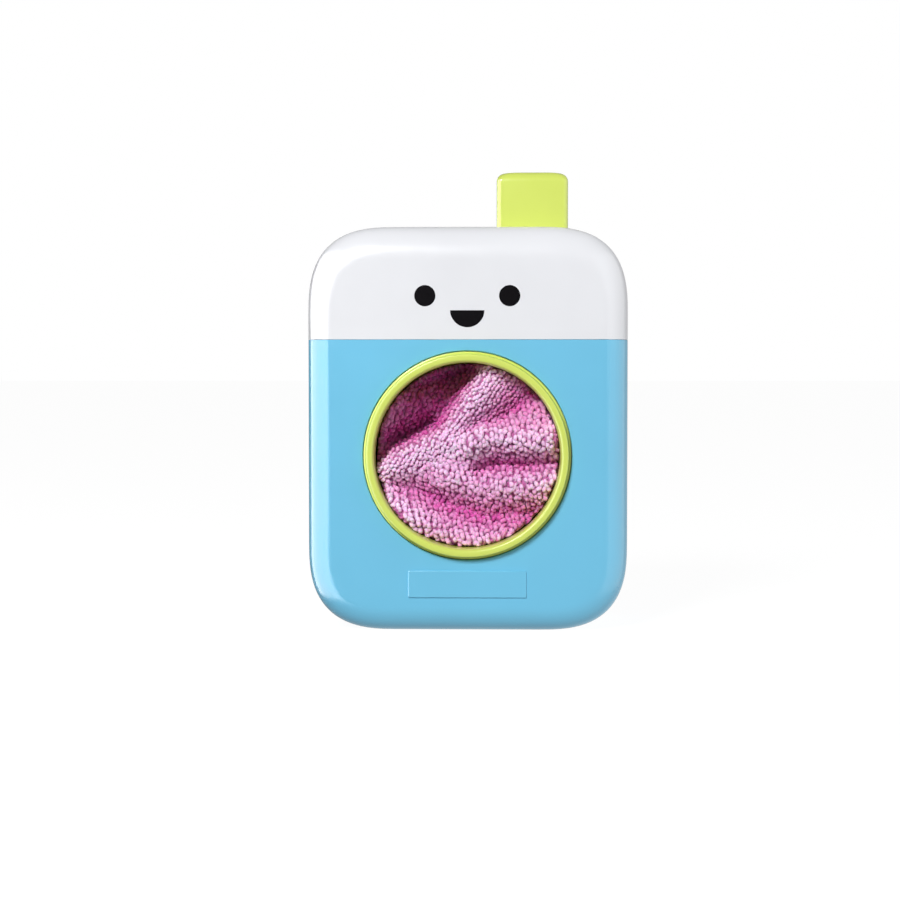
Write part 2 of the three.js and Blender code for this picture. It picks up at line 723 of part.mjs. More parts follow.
// Flanged bush for the drum's shaft.
function drumBush() {
  const flangeRadius = bushOuterRadius + plateBossWall;
  return solid(turned([
    [bushBore, bushFront],
    [flangeRadius, bushFront],
    [flangeRadius, bushFront + bushFlange],
    [bushOuterRadius, bushFront + bushFlange],
    [bushOuterRadius, plateBossBack],
    [bushBore, plateBossBack],
    [bushBore, bushFront],
  ], bushSides));
}

// The outline of an involute gear, with the middle of one tooth at the given angle.
function gearOutline(teeth, firstTooth) {
  const pitchRadius = (teeth * gearModule) / 2;
  const baseRadius = pitchRadius * Math.cos(pressureAngle);
  const rootRadius = pitchRadius - dedendum;
  const involute = (angle) => Math.tan(angle) - angle;
  const halfAtPitch = (toothPitch - backlash) / 4 / pitchRadius;
  const halfAngle = (radius) => {
    const roll = Math.acos(Math.min(baseRadius / radius, 1));
    return halfAtPitch + involute(pressureAngle) - involute(roll);
  };
  const flankStart = Math.max(baseRadius, (rootRadius + pitchRadius) / 2);
  const flank = [rootRadius, flankStart, pitchRadius, pitchRadius + addendum];
  const points = [];
  for (let i = 0; i < teeth; i++) {
    const middle = firstTooth + (i * 2 * Math.PI) / teeth;
    const at = (radius, side) => {
      const angle = middle + side * halfAngle(radius);
      points.push(new THREE.Vector2(radius * Math.cos(angle), radius * Math.sin(angle)));
    };
    flank.forEach((radius) => at(radius, -1));
    [...flank].reverse().forEach((radius) => at(radius, 1));
  }
  return new THREE.Shape(points);
}

// The gear on the drum's shaft: a gap of its teeth faces the wheel, and its bore has the shaft's flat.
function drumGear() {
  const gear = plateOf(gearOutline(drumGearTeeth, meshAngle + Math.PI / drumGearTeeth), gearFront, gearBack);
  const radius = shaftRadius + seatGap;
  const [cutFront, cutBack] = [gearFront - cutOverrun, gearBack + cutOverrun];
  const bore = barY(radius, cutFront, cutBack, 0, 0, pinSides);
  const keptAboveFlat = block(-radius, radius, gearFront - 2 * cutOverrun, gearBack + 2 * cutOverrun,
    shaftFlat + seatGap, radius + cutOverrun);
  return gear.subtract(bore.subtract(keptAboveFlat));
}

// The double gear: a wheel that drives the drum's gear, and a pinion that the rack drives.
function idlerGear() {
  const wheel = plateOf(gearOutline(wheelTeeth, meshAngle + Math.PI), gearFront, gearBack);
  const pinion = plateOf(gearOutline(pinionTeeth, 0), gearBack - cutOverrun, pinionBack);
  const hub = barY(gearHubRadius, plateBossBack + seatGap / 2, gearFront + cutOverrun, 0, 0, pinSides);
  const boreBack = pinionBack + cutOverrun;
  const bore = barY(idlerPinRadius + seatGap, plateBossBack - cutOverrun, boreBack, 0, 0, pinSides);
  return joined([wheel, pinion, hub]).subtract(bore);
}

// A straight-sided outline whose corners are rounded off.
function roundedPolygon(corners, radius) {
  const shape = new THREE.Shape();
  corners.forEach(([x, y], i) => {
    const corner = new THREE.Vector2(x, y);
    const towards = (other) => new THREE.Vector2(...other).sub(corner).setLength(radius).add(corner);
    const before = towards(corners.at(i - 1));
    const after = towards(corners[(i + 1) % corners.length]);
    if (i === 0) shape.moveTo(before.x, before.y);
    else shape.lineTo(before.x, before.y);
    shape.quadraticCurveTo(corner.x, corner.y, after.x, after.y);
  });
  return shape;
}

const gearPostInset = gearPostRadius + gearCoverWall / 2;
const gearPostPlaces = [
  [gearCoverLeft + gearPostInset, gearCoverHigh - gearPostInset],
  [gearCoverLeft + gearPostInset, gearCoverLow + gearPostInset],
  [gearCoverRight - gearPostInset, drumHeight],
];

// Gear plate: held on four posts of the back shell, it carries the bush, the gear pin and the spring's shelf.
function gearPlate() {
  const reach = postRadius + seatGap;
  const outline = roundedPolygon([
    [-earLeft - reach, drumHeight - earDown - reach],
    [earRight + reach, drumHeight - earDown - reach],
    [earRight + reach, drumHeight + earUp + reach],
    [-earLeft - reach, drumHeight + earDown + reach],
  ], plateCornerRadius);
  const windowRight = gearCoverLeft - gearCoverWall;
  const windowLeft = windowRight - plateWindowWidth;
  const windowLow = drumHeight - earDown + plateWindowInset;
  const windowHigh = drumHeight + earDown - plateWindowInset;
  outline.holes.push(roundedPolygon([
    [windowLeft, windowLow],
    [windowRight, windowLow],
    [windowRight, windowHigh],
    [windowLeft, windowHigh],
  ], gearCoverCorner));
  const plate = plateOf(outline, plateFront, plateBack);
  const bushHoleRadius = bushOuterRadius + seatGap;
  const pinHoleRadius = idlerPinRadius + seatGap;
  const bushBoss = barY(bushHoleRadius + plateBossWall, plateFront, plateBossBack, 0, drumHeight, bushSides);
  const pinBoss = barY(pinHoleRadius + plateBossWall, plateFront, plateBossBack, idlerX, idlerZ, bushSides);
  const shelfLeft = tabCentreX - shelfWidth / 2;
  const shelfRight = tabCentreX + shelfWidth / 2;
  const shelfLow = shelfHigh - shelfThickness;
  const upright = block(shelfLeft, shelfRight, plateFront, plateBack, drumHeight + earDown, shelfHigh);
  const shelf = block(shelfLeft, shelfRight, -shelfFront, plateBack, shelfLow, shelfHigh);
  const plateMiddle = plateFront + plateThickness / 2;
  const shelfMiddle = shelfLow + shelfThickness / 2;
  const gusset = (x) => {
    const side = new THREE.Shape([
      new THREE.Vector2(-shelfFront, shelfMiddle),
      new THREE.Vector2(plateMiddle, shelfLow - gussetHeight),
      new THREE.Vector2(plateMiddle, shelfMiddle),
    ]);
    const made = new THREE.ExtrudeGeometry(side, { depth: gussetThickness, bevelEnabled: false });
    return solid(made.rotateX(Math.PI / 2).rotateZ(Math.PI / 2).translate(x, 0, 0));
  };
  const post = barZ(springPostRadius, shelfLow, shelfHigh + springPostHeight, tabCentreX, 0, bushSides);
  const [cutFront, bossCutBack] = [plateFront - cutOverrun, plateBossBack + cutOverrun];
  const bushHole = barY(bushHoleRadius, cutFront, bossCutBack, 0, drumHeight, bushSides);
  const pinHole = barY(pinHoleRadius, plateMiddle, bossCutBack, idlerX, idlerZ, pinSides);
  const screwHole = (radius) => ([x, z]) => barY(radius, cutFront, plateBack + cutOverrun, x, z, screwSides);
  const earHoles = earPlaces.map(screwHole(throughRadius));
  const coverHoles = gearPostPlaces.map(screwHole(pilotRadius));
  const gussets = [gusset(shelfLeft), gusset(shelfRight - gussetThickness)];
  return joined([plate, bushBoss, pinBoss, upright, shelf, post, ...gussets]).subtract(
    joined([bushHole, pinHole, ...earHoles, ...coverHoles]));
}

// Gear cover: a tub over the gears, with the rear seat of the gear pin and the rail that backs the rack.
function gearCover() {
  const frame = (inset) => roundedPolygon([
    [gearCoverLeft + inset, gearCoverLow + inset],
    [gearCoverRight - inset, gearCoverLow + inset],
    [gearCoverRight - inset, gearCoverHigh - inset],
    [gearCoverLeft + inset, gearCoverHigh - inset],
  ], gearCoverCorner - inset);
  const tubFront = plateBack + seatGap;
  const cutFront = tubFront - cutOverrun;
  const inside = plateOf(frame(gearCoverWall), cutFront, gearCoverFront);
  const tub = plateOf(frame(0), tubFront, gearCoverBack).subtract(inside);
  const wallMiddle = gearCoverFront + gearCoverWall / 2;
  const posts = gearPostPlaces.map(([x, z]) => barY(gearPostRadius, tubFront, wallMiddle, x, z, pinSides));
  const bossFront = gearCoverFront - pinBossHeight;
  const pinBoss = barY(gearHubRadius, bossFront, wallMiddle, idlerX, idlerZ, pinSides);
  const railLeft = rackBackX + slideClearance;
  const railRight = railLeft + rackGuideWall;
  const railLow = gearCoverLow + gearCoverWall / 2;
  const railHigh = gearCoverHigh - gearCoverWall / 2;
  const rail = block(railLeft, railRight, rackFront, wallMiddle, railLow, railHigh);
  const slotLeft = rackPitchX - addendum - slideClearance;
  const slotRight = (railLeft + railRight) / 2;
  const slotLow = gearCoverHigh - 2 * gearCoverWall;
  const rackSlot = block(slotLeft, slotRight, rackFront - slideClearance, rackRear + slideClearance, slotLow,
    gearCoverHigh + cutOverrun);
  const pinHoleFront = bossFront - cutOverrun;
  const pinHole = barY(idlerPinRadius + seatGap, pinHoleFront, wallMiddle, idlerX, idlerZ, pinSides);
  const screwHoles = gearPostPlaces.map(([x, z]) =>
    barY(throughRadius, cutFront, gearCoverBack + cutOverrun, x, z, screwSides));
  return joined([tub, ...posts, pinBoss, rail]).subtract(joined([rackSlot, pinHole, ...screwHoles]));
}

// Tab: a hollow cap with a stop flange, and behind it the arm whose lower end is the rack.
function pressTab() {
  const halfDepth = tabDepth / 2;
  const ring = (inset, z) => {
    const halfWidth = tabWidth / 2 - inset;
    const [left, right] = [tabCentreX - halfWidth, tabCentreX + halfWidth];
    const [front, back] = [inset - halfDepth, halfDepth - inset];
    const reach = tabCornerRadius + inset;
    const outline = softRectangle(left, right, front, back, reach, circlePower, roundingSteps);
    return outline.map((p) => new THREE.Vector3(p.x, p.y, z));
  };
  const roundings = Array.from({ length: roundingSteps + 1 }, (_, i) => {
    const angle = ((i / roundingSteps) * Math.PI) / 2;
    return ring(tabTopRounding * (1 - Math.cos(angle)), tabTop - tabTopRounding * (1 - Math.sin(angle)));
  });
  const outer = loft([ring(0, tabLow), ...roundings]);
  const cavity = tabColumn(-tabWall, tabLow - cutOverrun, ceilingHeight);
  const flange = tabColumn(stopReach, stopLow, stopTop).subtract(cavity);
  const postTop = ceilingHeight + tabCeiling / 2;
  const post = barZ(springPostRadius, ceilingHeight - springPostHeight, postTop, tabCentreX, 0, bushSides);
  const tongueFront = halfDepth - tabWall / 2;
  const arm = (width, low) => block(armX - width / 2, armX + width / 2, tongueFront, rackRear, low, stopTop);
  const teeth = Array.from({ length: rackTeeth }, (_, i) => rackTeeth - 1 - i).flatMap((i) => {
    const middle = idlerZ + (i - rackTeethBelow + rackPhase) * toothPitch;
    const halfAtPitch = (toothPitch - backlash) / 4;
    const halfAtTip = halfAtPitch - addendum * Math.tan(pressureAngle);
    const halfAtRoot = halfAtPitch + dedendum * Math.tan(pressureAngle);
    const tipX = rackPitchX - addendum;
    return [
      [rackRootX, middle + halfAtRoot],
      [tipX, middle + halfAtTip],
      [tipX, middle - halfAtTip],
      [rackRootX, middle - halfAtRoot],
    ];
  });
  const barPoints = [
    [rackRootX, rackLow],
    [rackBackX, rackLow],
    [rackBackX, stopTop],
    [rackRootX, stopTop],
    ...teeth,
  ];
  const outline = new THREE.Shape(barPoints.map(([x, z]) => new THREE.Vector2(x, z)));
  const rack = plateOf(outline, rackFront, rackRear);
  const arms = [arm(tongueWidth, stopLow), arm(tongueWeb, tabLow)];
  return joined([outer.subtract(cavity), flange, post, ...arms, rack]);
}

// Return spring: a helix that stands on the shelf and carries the tab's ceiling.
function returnSpring() {
  const low = shelfHigh + seatGap + springWire / 2;
  const high = ceilingHeight - seatGap - springWire / 2;
  const activeTurns = springTurns - 2;
  const endPitch = springWire + springEndGap;
  const pitch = (high - low - 2 * endPitch) / activeTurns;
  const heightAt = (turn) => {
    const active = Math.min(Math.max(turn - 1, 0), activeTurns);
    return low + active * pitch + (turn - active) * endPitch;
  };
  class Helix extends THREE.Curve {
    getPoint(share, target = new THREE.Vector3()) {
      const turn = share * springTurns;
      const angle = turn * 2 * Math.PI;
      const x = tabCentreX + springRadius * Math.cos(angle);
      return target.set(x, springRadius * Math.sin(angle), heightAt(turn));
    }
  }
  const section = new THREE.Shape(Array.from({ length: springSides }, (_, i) => {
    const angle = (i * 2 * Math.PI) / springSides;
    return new THREE.Vector2(Math.cos(angle), Math.sin(angle)).multiplyScalar(springWire / 2);
  }));
  const options = { steps: springTurns * springStepsPerTurn, extrudePath: new Helix(), bevelEnabled: false };
  return solid(new THREE.ExtrudeGeometry(section, options));
}

// How far a place is from a line of points, and how far it lies to the left of the line's nearest stretch.
function placeBeside(line, x, z) {
  let nearest = { far: Infinity, aside: 0 };
  line.slice(1).forEach(([endX, endZ], i) => {
    const [startX, startZ] = line[i];
    const [dx, dz] = [endX - startX, endZ - startZ];
    const length = Math.hypot(dx, dz);
    const along = ((x - startX) * dx + (z - startZ) * dz) / length ** 2;
    const kept = Math.min(Math.max(along, 0), 1);
    const [fromX, fromZ] = [x - startX - kept * dx, z - startZ - kept * dz];
    const far = Math.hypot(fromX, fromZ);
    if (far < nearest.far) nearest = { far, aside: (dx * fromZ - dz * fromX) / length };
  });
  return nearest;
}

// How far the folds raise the cloth towards the viewer at a place given in shares of the cloth's radius.
function foldHeight(x, z) {
  return foldShares.reduce((sum, fold) => {
    const { far, aside } = placeBeside(fold.line, x, z);
    const leftShare = (1 + Math.tanh(aside / foldBlendShare)) / 2;
    const width = fold.left * leftShare + fold.right * (1 - leftShare);
    return sum + fold.high * Math.exp(-((far / width) ** foldPower));
  }, 0);
}

// Crumpled terry cloth: a folded front, a rolled edge and a blunt back, round the drum's axis.
function washcloth() {
  const back = floorFront - clothBackGap;
  const ring = (radiusShare, y) =>
    Array.from({ length: clothSectors }, (_, i) => {
      const angle = (i * 2 * Math.PI) / clothSectors;
      const [x, z] = [radiusShare * Math.cos(angle), radiusShare * Math.sin(angle)];
      return new THREE.Vector3(clothRadius * x, y(x, z), clothRadius * z);
    });
  const front = (x, z) => {
    const roll = clothEdgeDepth * Math.hypot(x, z) ** clothEdgePower;
    return frontFace + clothFront + roll - clothRadius * foldHeight(x, z);
  };
  const sideFront = frontFace + clothFront + clothSideSetBack;
  const sideBack = back - clothBackRounding;
  const rollShare = clothBackRounding / clothRadius;
  const backRings = Array.from({ length: clothBackRings }, (_, i) => {
    const angle = ((i / clothBackRings) * Math.PI) / 2;
    const y = back - clothBackRounding * (1 - Math.sin(angle));
    return ring(1 - rollShare * (1 - Math.cos(angle)), () => y);
  }).reverse();
  const sideRings = Array.from({ length: clothSideSteps - 1 }, (_, i) => {
    const share = (i + 1) / clothSideSteps;
    return ring(1, () => sideBack + (sideFront - sideBack) * share);
  });
  const frontRings = Array.from({ length: clothRings }, (_, i) => ring(1 - i / clothRings, front));
  const backEdge = ring(1 - rollShare, () => back);
  return loft([backEdge, ...backRings, ...sideRings, ...frontRings]);
}

const machine = new THREE.Group();

piece("front_shell", frontShell(), blue, machine);
piece("back_shell", backShell(), blue, machine);
piece("top_cover", topCover(), white, machine);
piece("gear_plate", gearPlate(), natural, machine);
piece("gear_cover", gearCover(), natural, machine);
piece("press_tab", pressTab(), lime, machine);
piece("return_spring", returnSpring(), steel, machine);

// The drum and what turns or lies on its axis
const drumAxis = new THREE.Group();
drumAxis.position.z = drumHeight;
machine.add(drumAxis);
piece("drum_ring", drumRing(), lime, drumAxis);
piece("drum_basket", drumBasket(), lime, drumAxis);
piece("drum_bush", drumBush(), natural, drumAxis);
piece("drum_gear", drumGear(), natural, drumAxis);
const shaftScrew = screw(drumScrewLength - screwPointLength, drumScrewHeadRadius);
piece("drum_screw", shaftScrew, steel, drumAxis).position.y = shaftEnd + seatGap;
piece("washcloth", washcloth(), terry, drumAxis);

// The double gear on its pin
const idlerAxis = new THREE.Group();
idlerAxis.position.set(idlerX, 0, idlerZ);
machine.add(idlerAxis);
piece("idler_gear", idlerGear(), natural, idlerAxis);
const pinFront = plateFront + plateThickness / 2 + seatGap;
const pinBack = gearCoverFront + gearCoverWall / 2 - seatGap;
piece("idler_pin", barY(idlerPinRadius, pinFront, pinBack, 0, 0, pinSides), steel, idlerAxis);

// Screws, each with its head behind what it holds
bossPlaces.forEach(([x, z], i) => {
  piece(`case_screw_${i + 1}`, screw(caseScrewLength), steel, machine).position.set(x, wellSeat + seatGap, z);
});
coverScrewXs.forEach((x, i) => {
  const seat = coverWellFront + coverWellFloor + seatGap;
  piece(`cover_screw_${i + 1}`, screw(coverScrewLength), steel, machine).position.set(x, seat, coverScrewZ);
});
gearPostPlaces.forEach(([x, z], i) => {
  const seat = gearCoverBack + seatGap;
  piece(`gear_cover_screw_${i + 1}`, screw(gearScrewLength), steel, machine).position.set(x, seat, z);
});
earPlaces.forEach(([x, z], i) => {
  const made = piece(`gear_plate_screw_${i + 1}`, screw(plateScrewLength), steel, machine);
  made.rotation.x = Math.PI;
  made.position.set(x, plateFront - seatGap, z);
});

export default machine;
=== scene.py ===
"""A toy washing machine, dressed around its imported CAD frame.

Lengths are in millimetres until they reach Blender, which takes metres. The front faces -Y, and Z is up.
"""

import contextlib
import math

import bmesh
import bpy
import numpy as np
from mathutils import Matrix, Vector


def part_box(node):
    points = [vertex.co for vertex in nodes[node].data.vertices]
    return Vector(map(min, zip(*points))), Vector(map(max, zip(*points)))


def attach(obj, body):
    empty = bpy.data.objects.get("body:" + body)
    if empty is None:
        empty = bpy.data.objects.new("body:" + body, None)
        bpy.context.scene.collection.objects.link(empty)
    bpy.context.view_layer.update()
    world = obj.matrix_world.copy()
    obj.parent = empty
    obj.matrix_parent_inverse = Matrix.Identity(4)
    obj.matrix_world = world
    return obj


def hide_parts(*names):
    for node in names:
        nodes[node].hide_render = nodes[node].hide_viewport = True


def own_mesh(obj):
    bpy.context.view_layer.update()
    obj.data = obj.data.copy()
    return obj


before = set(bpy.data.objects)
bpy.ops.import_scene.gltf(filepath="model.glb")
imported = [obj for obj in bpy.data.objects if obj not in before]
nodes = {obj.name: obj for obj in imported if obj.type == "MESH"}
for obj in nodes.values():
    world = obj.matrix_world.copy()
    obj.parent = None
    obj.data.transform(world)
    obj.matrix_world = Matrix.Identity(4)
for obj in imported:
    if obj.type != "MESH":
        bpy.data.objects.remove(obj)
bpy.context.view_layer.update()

MM = 0.001
SEED = 11
WELD = 2e-7  # metres; points nearer to each other than this become one
SHARP = 32.0  # degrees; edges sharper than this are shaded sharp
ROUND = 2.0  # the superellipse power that gives a circle

# The casing, as the CAD has it
WIDTH, DEPTH, HEIGHT = 160.0, 84.0, 202.0
CORNER_REACH, CORNER_POWER = 44.0, 2.75
SIDE_ROUNDING, TOP_ROUNDING, BASE_ROUNDING, EDGE_DEPTH = 12.5, 17.0, 12.3, 12.5
SEAM_HEIGHT, PARTING_PLANE = 145.5, 10.0
PORT_RADIUS, DRUM_HEIGHT = 52.0, 88.0
CASE_WELL_RADIUS, COVER_WELL_RADIUS = 4.6, 3.8
DRAIN_RADIUS, DRAIN_SPACING, DRAIN_COUNT, DRAIN_Y = 2.5, 15.0, 5, -16.0
FRONT, BACK = -DEPTH / 2, DEPTH / 2

# The casing's fine outer layer
SKIN = 1.5  # its thickness
FEATURES_INSET = 0.8  # how far under the surface the CAD's inner features end
SEAM_GAP = 0.1
GROOVE = 0.2  # half the width of the fine groove along each seam
PORT_CHAMFER, WELL_CHAMFER, SLOT_CHAMFER = 0.35, 0.4, 0.4
CORNER_STEPS, EDGE_STEPS, SEAM_STEPS = 22, 12, 16
PORT_SIDES, WELL_SIDES, DRAIN_SIDES = 160, 48, 32
SIDE_BORDER = 0.5  # the width of the ring that keeps the shading of the straight sides straight
FACE_BORDER = 0.012  # the same for the flat front and back, as a share of their size

# Cutters
OUT = 3.0  # how far they reach past the casing
SIDE = WIDTH / 2 + OUT  # half the width of those that go right across
WELL_FRONT = 30.0  # where those of the screw wells start
SLOT_DEPTH = 20.0  # how far the slot's goes down into the casing

# The tab and its slot
TAB_X, TAB_WIDTH, TAB_DEPTH, TAB_TOP = 32.4, 36.2, 28.0, 231.0
TAB_CORNER, TAB_ROUNDING, SLOT_GAP, COLUMN_STEPS = 2.6, 5.0, 0.4, 8


# Mesh helpers

def link(made):
    """Puts an object into the scene."""
    bpy.context.scene.collection.objects.link(made)
    return made


def new_object(name, vertices, faces):
    """A mesh object from points in millimetres."""
    mesh = bpy.data.meshes.new(name)
    mesh.from_pydata([tuple(c * MM for c in v) for v in vertices], [], faces)
    mesh.validate()
    return link(bpy.data.objects.new(name, mesh))


@contextlib.contextmanager
def edited(mesh):
    """A mesh opened for editing, and written back afterwards."""
    bm = bmesh.new()
    bm.from_mesh(mesh)
    yield bm
    bm.to_mesh(mesh)
    bm.free()


def tidy(made, sharp=SHARP):
    """Welds doubled points, turns the faces out and shades smooth but for edges sharper than the angle."""
    with edited(made.data) as bm:
        bmesh.ops.remove_doubles(bm, verts=bm.verts, dist=WELD)
        bmesh.ops.recalc_face_normals(bm, faces=bm.faces)
        limit = math.radians(sharp)
        for face in bm.faces:
            face.smooth = True
        for edge in bm.edges:
            edge.smooth = len(edge.link_faces) == 2 and edge.calc_face_angle(0.0) < limit
    return made


def shade_smooth(made):
    """Shades every face smooth."""
    made.data.polygons.foreach_set("use_smooth", [True] * len(made.data.polygons))


def set_values(made, name, values):
    """Stores a number for each point of a mesh, for its material to read."""
    stored = made.data.attributes.new(name, "FLOAT", "POINT")
    stored.data.foreach_set("value", values.astype(np.float32))


def circle(radius, x, z, sides):
    """Points round a circle, counterclockwise."""
    angles = [2 * math.pi * i / sides for i in range(sides)]
    return [(x + radius * math.cos(angle), z + radius * math.sin(angle)) for angle in angles]


def arc(centre_radius, centre_y, size, start, end, steps=10, deep=None):
    """Points of (radius, y) on an arc; deep is its size along y where that differs."""
    angles = [start + (end - start) * i / steps for i in range(steps + 1)]
    return [(centre_radius + size * math.cos(angle), centre_y + (deep or size) * math.sin(angle))
            for angle in angles]


def soft_rectangle(left, right, low, high, reach, power, steps):
    """A rectangle whose corners are quarters of a superellipse, counterclockwise."""
    centres = [(right - reach, low + reach), (right - reach, high - reach),
               (left + reach, high - reach), (left + reach, low + reach)]
    points = []
    for quarter, (x, y) in enumerate(centres):
        turn = (quarter - 1) * math.pi / 2
        for i in range(steps + 1):
            angle = i / steps * math.pi / 2
            along = reach * max(math.cos(angle), 0.0) ** (2 / power)
            across = reach * max(math.sin(angle), 0.0) ** (2 / power)
            points.append((x + along * math.cos(turn) - across * math.sin(turn),
                           y + along * math.sin(turn) + across * math.cos(turn)))
    return points


def centre_of(ring):
    """The mean of a ring's points."""
    return tuple(sum(p[k] for p in ring) / len(ring) for k in range(3))


def loft(name, rings, border=0.0):
    """A closed skin through rings of points; a border, as a share of an end ring's size, keeps it flat."""
    def smaller(ring):
        centre = centre_of(ring)
        return [tuple(c + (a - c) * (1 - border) for a, c in zip(p, centre)) for p in ring]

    if border:
        rings = [smaller(rings[0]), *rings, smaller(rings[-1])]
    size = len(rings[0])
    vertices = [p for ring in rings for p in ring] + [centre_of(rings[0]), centre_of(rings[-1])]
    first_centre = len(rings) * size
    last_ring = first_centre - size
    faces = []
    for i in range(size):
        following = (i + 1) % size
        for k in range(len(rings) - 1):
            low, high = k * size, (k + 1) * size
            faces.append((low + i, low + following, high + following, high + i))
        faces.append((first_centre, following, i))
        faces.append((first_centre + 1, last_ring + i, last_ring + following))
    return tidy(new_object(name, vertices, faces))


def casing_body(name, inset):
    """The casing's rounded box, taken in by some distance."""
    def ring(angle, facing):
        share = 1 - math.sin(angle)
        y = facing * (DEPTH / 2 - inset - (EDGE_DEPTH - inset) * (1 - math.cos(angle)))
        width = WIDTH / 2 - inset - share * (SIDE_ROUNDING - inset)
        low = inset + share * (BASE_ROUNDING - inset)
        high = HEIGHT - inset - share * (TOP_ROUNDING - inset)
        reach = CORNER_REACH - inset - share * (SIDE_ROUNDING + TOP_ROUNDING - 2 * inset) / 2
        outline = soft_rectangle(-width, width, low, high, reach, CORNER_POWER, CORNER_STEPS)
        return [(x, y, z) for x, z in outline]

    def inner_ring(facing):
        return [(x, y - facing * SIDE_BORDER, z) for x, y, z in ring(math.pi / 2, facing)]

    angles = [i / EDGE_STEPS * math.pi / 2 for i in range(EDGE_STEPS + 1)]
    back = [ring(angle, 1) for angle in angles]
    front = [ring(angle, -1) for angle in reversed(angles)]
    return loft(name, back + [inner_ring(1), inner_ring(-1)] + front, FACE_BORDER)


def block(name, left, right, front, back, low, high):
    """A plain box, for cutting."""
    corners = [(x, y, z) for z in (low, high) for y in (front, back) for x in (left, right)]
    faces = [(0, 2, 3, 1), (4, 5, 7, 6), (0, 1, 5, 4), (2, 6, 7, 3), (0, 4, 6, 2), (1, 3, 7, 5)]
    return tidy(new_object(name, corners, faces))


def turned_ring(name, profile, z, sides):
    """A closed profile of (radius, y), turned round an axis along Y at a height."""
    rings = [circle(radius, 0, z, sides) for radius, _ in profile]
    vertices = [(ring[i][0], y, ring[i][1]) for i in range(sides) for ring, (_, y) in zip(rings, profile)]
    count = len(profile)
    faces = []
    for i in range(sides):
        here, there = i * count, (i + 1) % sides * count
        for k in range(count):
            following = (k + 1) % count
            faces.append((here + k, here + following, there + following, there + k))
    return tidy(new_object(name, vertices, faces))


def turned_solid(name, profile, x, z, sides):
    """An open profile of (radius, y), turned round an axis along Y, with flat discs as ends."""
    rings = [[(px, y, pz) for px, pz in circle(radius, x, z, sides)] for radius, y in profile]
    return loft(name, rings)


def combine(target, operation, *tools):
    """Joins tools to the target, cuts them from it or keeps what is common, and deletes the tools."""
    for tool in tools:
        modifier = target.modifiers.new("combine", "BOOLEAN")
        modifier.operation = operation
        modifier.solver = "MANIFOLD"
        modifier.object = tool
        graph = bpy.context.evaluated_depsgraph_get()
        result = bpy.data.meshes.new_from_object(target.evaluated_get(graph))
        target.modifiers.clear()
        target.data = result
        bpy.data.objects.remove(tool)
    return target


def copy_of_node(name, new_name):
    """A CAD node's shape as a new object."""
    made = link(bpy.data.objects.new(new_name, nodes[name].data.copy()))
    made.data.materials.clear()
    with edited(made.data) as bm:
        bmesh.ops.remove_doubles(bm, verts=bm.verts, dist=WELD)
    for attribute in list(made.data.attributes):
        if attribute.name == "custom_normal":
            made.data.attributes.remove(attribute)
    return made


def middle_of(node):
    """The middle of a CAD node's box, in millimetres."""
    low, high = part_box(node)
    return tuple((a + b) / 2 / MM for a, b in zip(low, high))


# Materials

def linear(r, g, b):
    """An sRGB colour of 0 to 255 as linear numbers."""
    return tuple((c / 255 / 12.92) if c <= 10 else ((c / 255 + 0.055) / 1.055) ** 2.4 for c in (r, g, b))


WHITE = linear(213, 214, 218)
BLUE = linear(106, 181, 213)
LIME = linear(195, 209, 96)
NATURAL = linear(226, 222, 208)
STEEL_DARK, STEEL_LIGHT = linear(168, 170, 174), linear(205, 207, 210)
INK_DARK, INK_LIGHT = linear(7, 6, 8), linear(13, 11, 14)
# The brightest yarn colour is a painted highlight for loops on raised folds; the dark one is painted shade at
# the roots and also the random fibre darkening
YARN_DARK, YARN, YARN_PAINTED_HIGHLIGHT = linear(122, 22, 94), linear(220, 96, 178), linear(255, 216, 249)
YARN_SHEEN = linear(250, 205, 235)


def material(name, **inputs):
    """A material, its nodes and its shader; in the names of the inputs an underscore stands for a space."""
    made = bpy.data.materials.new(name)
    made.use_nodes = True
    shader = made.node_tree.nodes["Principled BSDF"]
    for socket, value in inputs.items():
        shader.inputs[socket.replace("_", " ")].default_value = value
    return made, made.node_tree, shader


def noise(tree, scale, detail=2.0, roughness=0.5, stretch=(1, 1, 1)):
    """Noise over the object's own coordinates."""
    place = tree.nodes.new("ShaderNodeTexCoord")
    mapping = tree.nodes.new("ShaderNodeMapping")
    mapping.inputs["Scale"].default_value = stretch
    made = tree.nodes.new("ShaderNodeTexNoise")
    made.inputs["Scale"].default_value = scale
    made.inputs["Detail"].default_value = detail
    made.inputs["Roughness"].default_value = roughness
    tree.links.new(place.outputs["Object"], mapping.inputs["Vector"])
    tree.links.new(mapping.outputs["Vector"], made.inputs["Vector"])
    return made.outputs["Fac"]


def spread(tree, value, low, high, from_low=0.3, from_high=0.7):
    """Carries one range of values over to another."""
    node = tree.nodes.new("ShaderNodeMapRange")
    node.inputs["From Min"].default_value = from_low
    node.inputs["From Max"].default_value = from_high
    node.inputs["To Min"].default_value = low
    node.inputs["To Max"].default_value = high
    tree.links.new(value, node.inputs["Value"])
    return node.outputs["Result"]


def blend_colours(tree, share, first, second):
    """Mixes two colours, each of which is numbers or another node's output."""
    node = tree.nodes.new("ShaderNodeMix")
    node.data_type = "RGBA"
    for socket, colour in (("A", first), ("B", second)):
        if isinstance(colour, tuple):
            node.inputs[socket].default_value = (*colour, 1)
        else:
            tree.links.new(colour, node.inputs[socket])
    tree.links.new(share, node.inputs["Factor"])
    return node.outputs["Result"]


def bump(tree, shader, height, strength, distance):
    """Fine relief; distance is in metres."""
    node = tree.nodes.new("ShaderNodeBump")
    node.inputs["Strength"].default_value = strength
    node.inputs["Distance"].default_value = distance
    tree.links.new(height, node.inputs["Height"])
    tree.links.new(node.outputs["Normal"], shader.inputs["Normal"])


def stored_value(tree, name):
    """What a mesh stores for each of its points under a name."""
    node = tree.nodes.new("ShaderNodeAttribute")
    node.attribute_name = name
    return node.outputs["Fac"]


